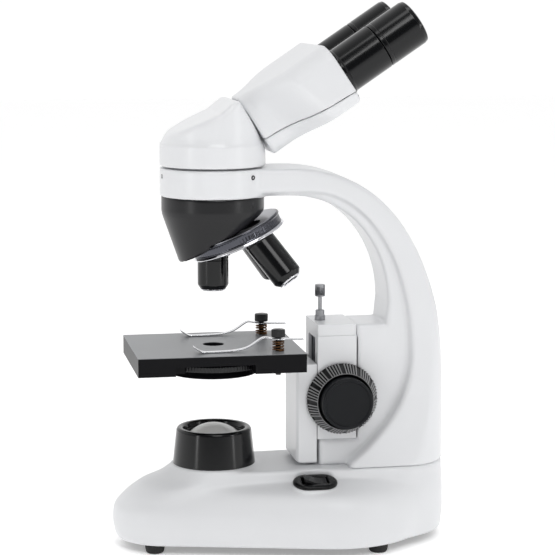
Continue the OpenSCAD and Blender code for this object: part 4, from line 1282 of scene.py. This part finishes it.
@dataclass
class Studio:
    """The camera, the lights and the pale floor."""

    azimuth: float = 79.6
    elevation: float = 8.26
    lens: float = 127.7
    distance: float = 1.4334
    target: Vec = (0.0, -0.0006, 0.1941)

    def back(self) -> Array:
        """Unit vector from the target to the camera."""
        az, el = math.radians(self.azimuth), math.radians(self.elevation)
        return np.array([math.sin(az) * math.cos(el), -math.cos(az) * math.cos(el), math.sin(el)])

    def camera(self) -> None:
        """Places the camera and makes it the scene's."""
        data = bpy.data.cameras.new("camera")
        data.lens, data.sensor_width = self.lens, 36.0
        data.clip_end = 20.0
        camera = bpy.data.objects.new("camera", data)
        bpy.context.scene.collection.objects.link(camera)
        back = self.back()
        camera.location = np.asarray(self.target) + self.distance * back
        right = np.cross([0, 0, 1], back)
        right /= np.linalg.norm(right)
        up = np.cross(back, right)
        camera.rotation_euler = mathutils.Matrix(np.stack([right, up, back], 1).tolist()).to_euler()
        bpy.context.scene.camera = camera

    @staticmethod
    def light(name: str, where: Vec, towards: Vec, size: tuple[float, float], watts: float) -> None:
        """A soft rectangular light that faces a point."""
        data = bpy.data.lights.new(name, "AREA")
        data.shape, data.size, data.size_y, data.energy = "RECTANGLE", size[0], size[1], watts
        lamp = bpy.data.objects.new(name, data)
        bpy.context.scene.collection.objects.link(lamp)
        lamp.location = where
        aim = mathutils.Vector(towards) - mathutils.Vector(where)
        lamp.rotation_euler = aim.to_track_quat("-Z", "Y").to_euler()

    def floor(self) -> None:
        """A pale sweep: a wide level floor, matt and faintly mottled."""
        n = 12
        side = np.linspace(-6000, 6000, n)
        grid = np.stack(np.broadcast_arrays(side[:, None], side[None], -0.05), -1)
        floor = surface("floor", grid, wrap_columns=False, outward=False)
        if floor.data.polygons[0].normal.z < 0:
            floor.data.flip_normals()
        paper = Finish("paper_sweep", "FDFDFD", 0.75, grain_mm=3, grain_depth=0.02,
                       variation=0.004).material()
        shader = next(n for n in paper.node_tree.nodes if n.type == "BSDF_PRINCIPLED")
        shader.inputs["Emission Color"].default_value = (1.0, 1.0, 1.0, 1.0)
        shader.inputs["Emission Strength"].default_value = 0.3
        floor.data.materials.append(paper)

    def build(self) -> None:
        """Sets the floor, a world that is darker behind the camera, and four soft lights."""
        self.floor()
        world = bpy.data.worlds.new("world")
        world.use_nodes = True
        tree = world.node_tree
        away = add_node(tree, "ShaderNodeNewGeometry").outputs["Incoming"]
        facing = add_node(tree, "ShaderNodeVectorMath", {0: away, 1: tuple(self.back())},
                          operation="DOT_PRODUCT").outputs["Value"]
        level = add_node(tree, "ShaderNodeMapRange", {
            "Value": facing, "From Min": -0.9, "From Max": 0.35, "To Min": 0.16, "To Max": 1.02})
        background = tree.nodes["Background"]
        background.inputs["Color"].default_value = (1.0, 1.0, 1.0, 1.0)
        tree.links.new(level.outputs["Result"], background.inputs["Strength"])
        bpy.context.scene.world = world
        bpy.context.scene.view_settings.view_transform = "Standard"
        centre = (0.0, 0.0, 0.2)
        self.light("top", (0.4, -0.2, 2.0), centre, (0.6, 1.2), 5.5)
        self.light("key", (1.7, 0.1, 1.7), centre, (0.9, 0.9), 12.5)
        self.light("nose_strip", (0.9, -1.5, 0.35), centre, (0.16, 1.3), 3.6)
        self.light("heel_strip", (1.1, 1.3, 0.4), centre, (0.12, 1.3), 3.2)


def main() -> None:
    """Builds the microscope's looks, sub-assembly by sub-assembly."""
    logging.basicConfig(level=logging.INFO, format="%(message)s")
    studio = Studio()
    studio.camera()
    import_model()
    studio.build()
    for assembly in (Base(), Lamp(), PowerSwitch(), Arm(), FocusUnit(), Stage(), StopScrew(), Nosepiece(),
                     Head(), Eyetubes()):
        LOG.info("building %s", type(assembly).__name__)
        assembly.build()


if __name__ == "__main__":
    main()
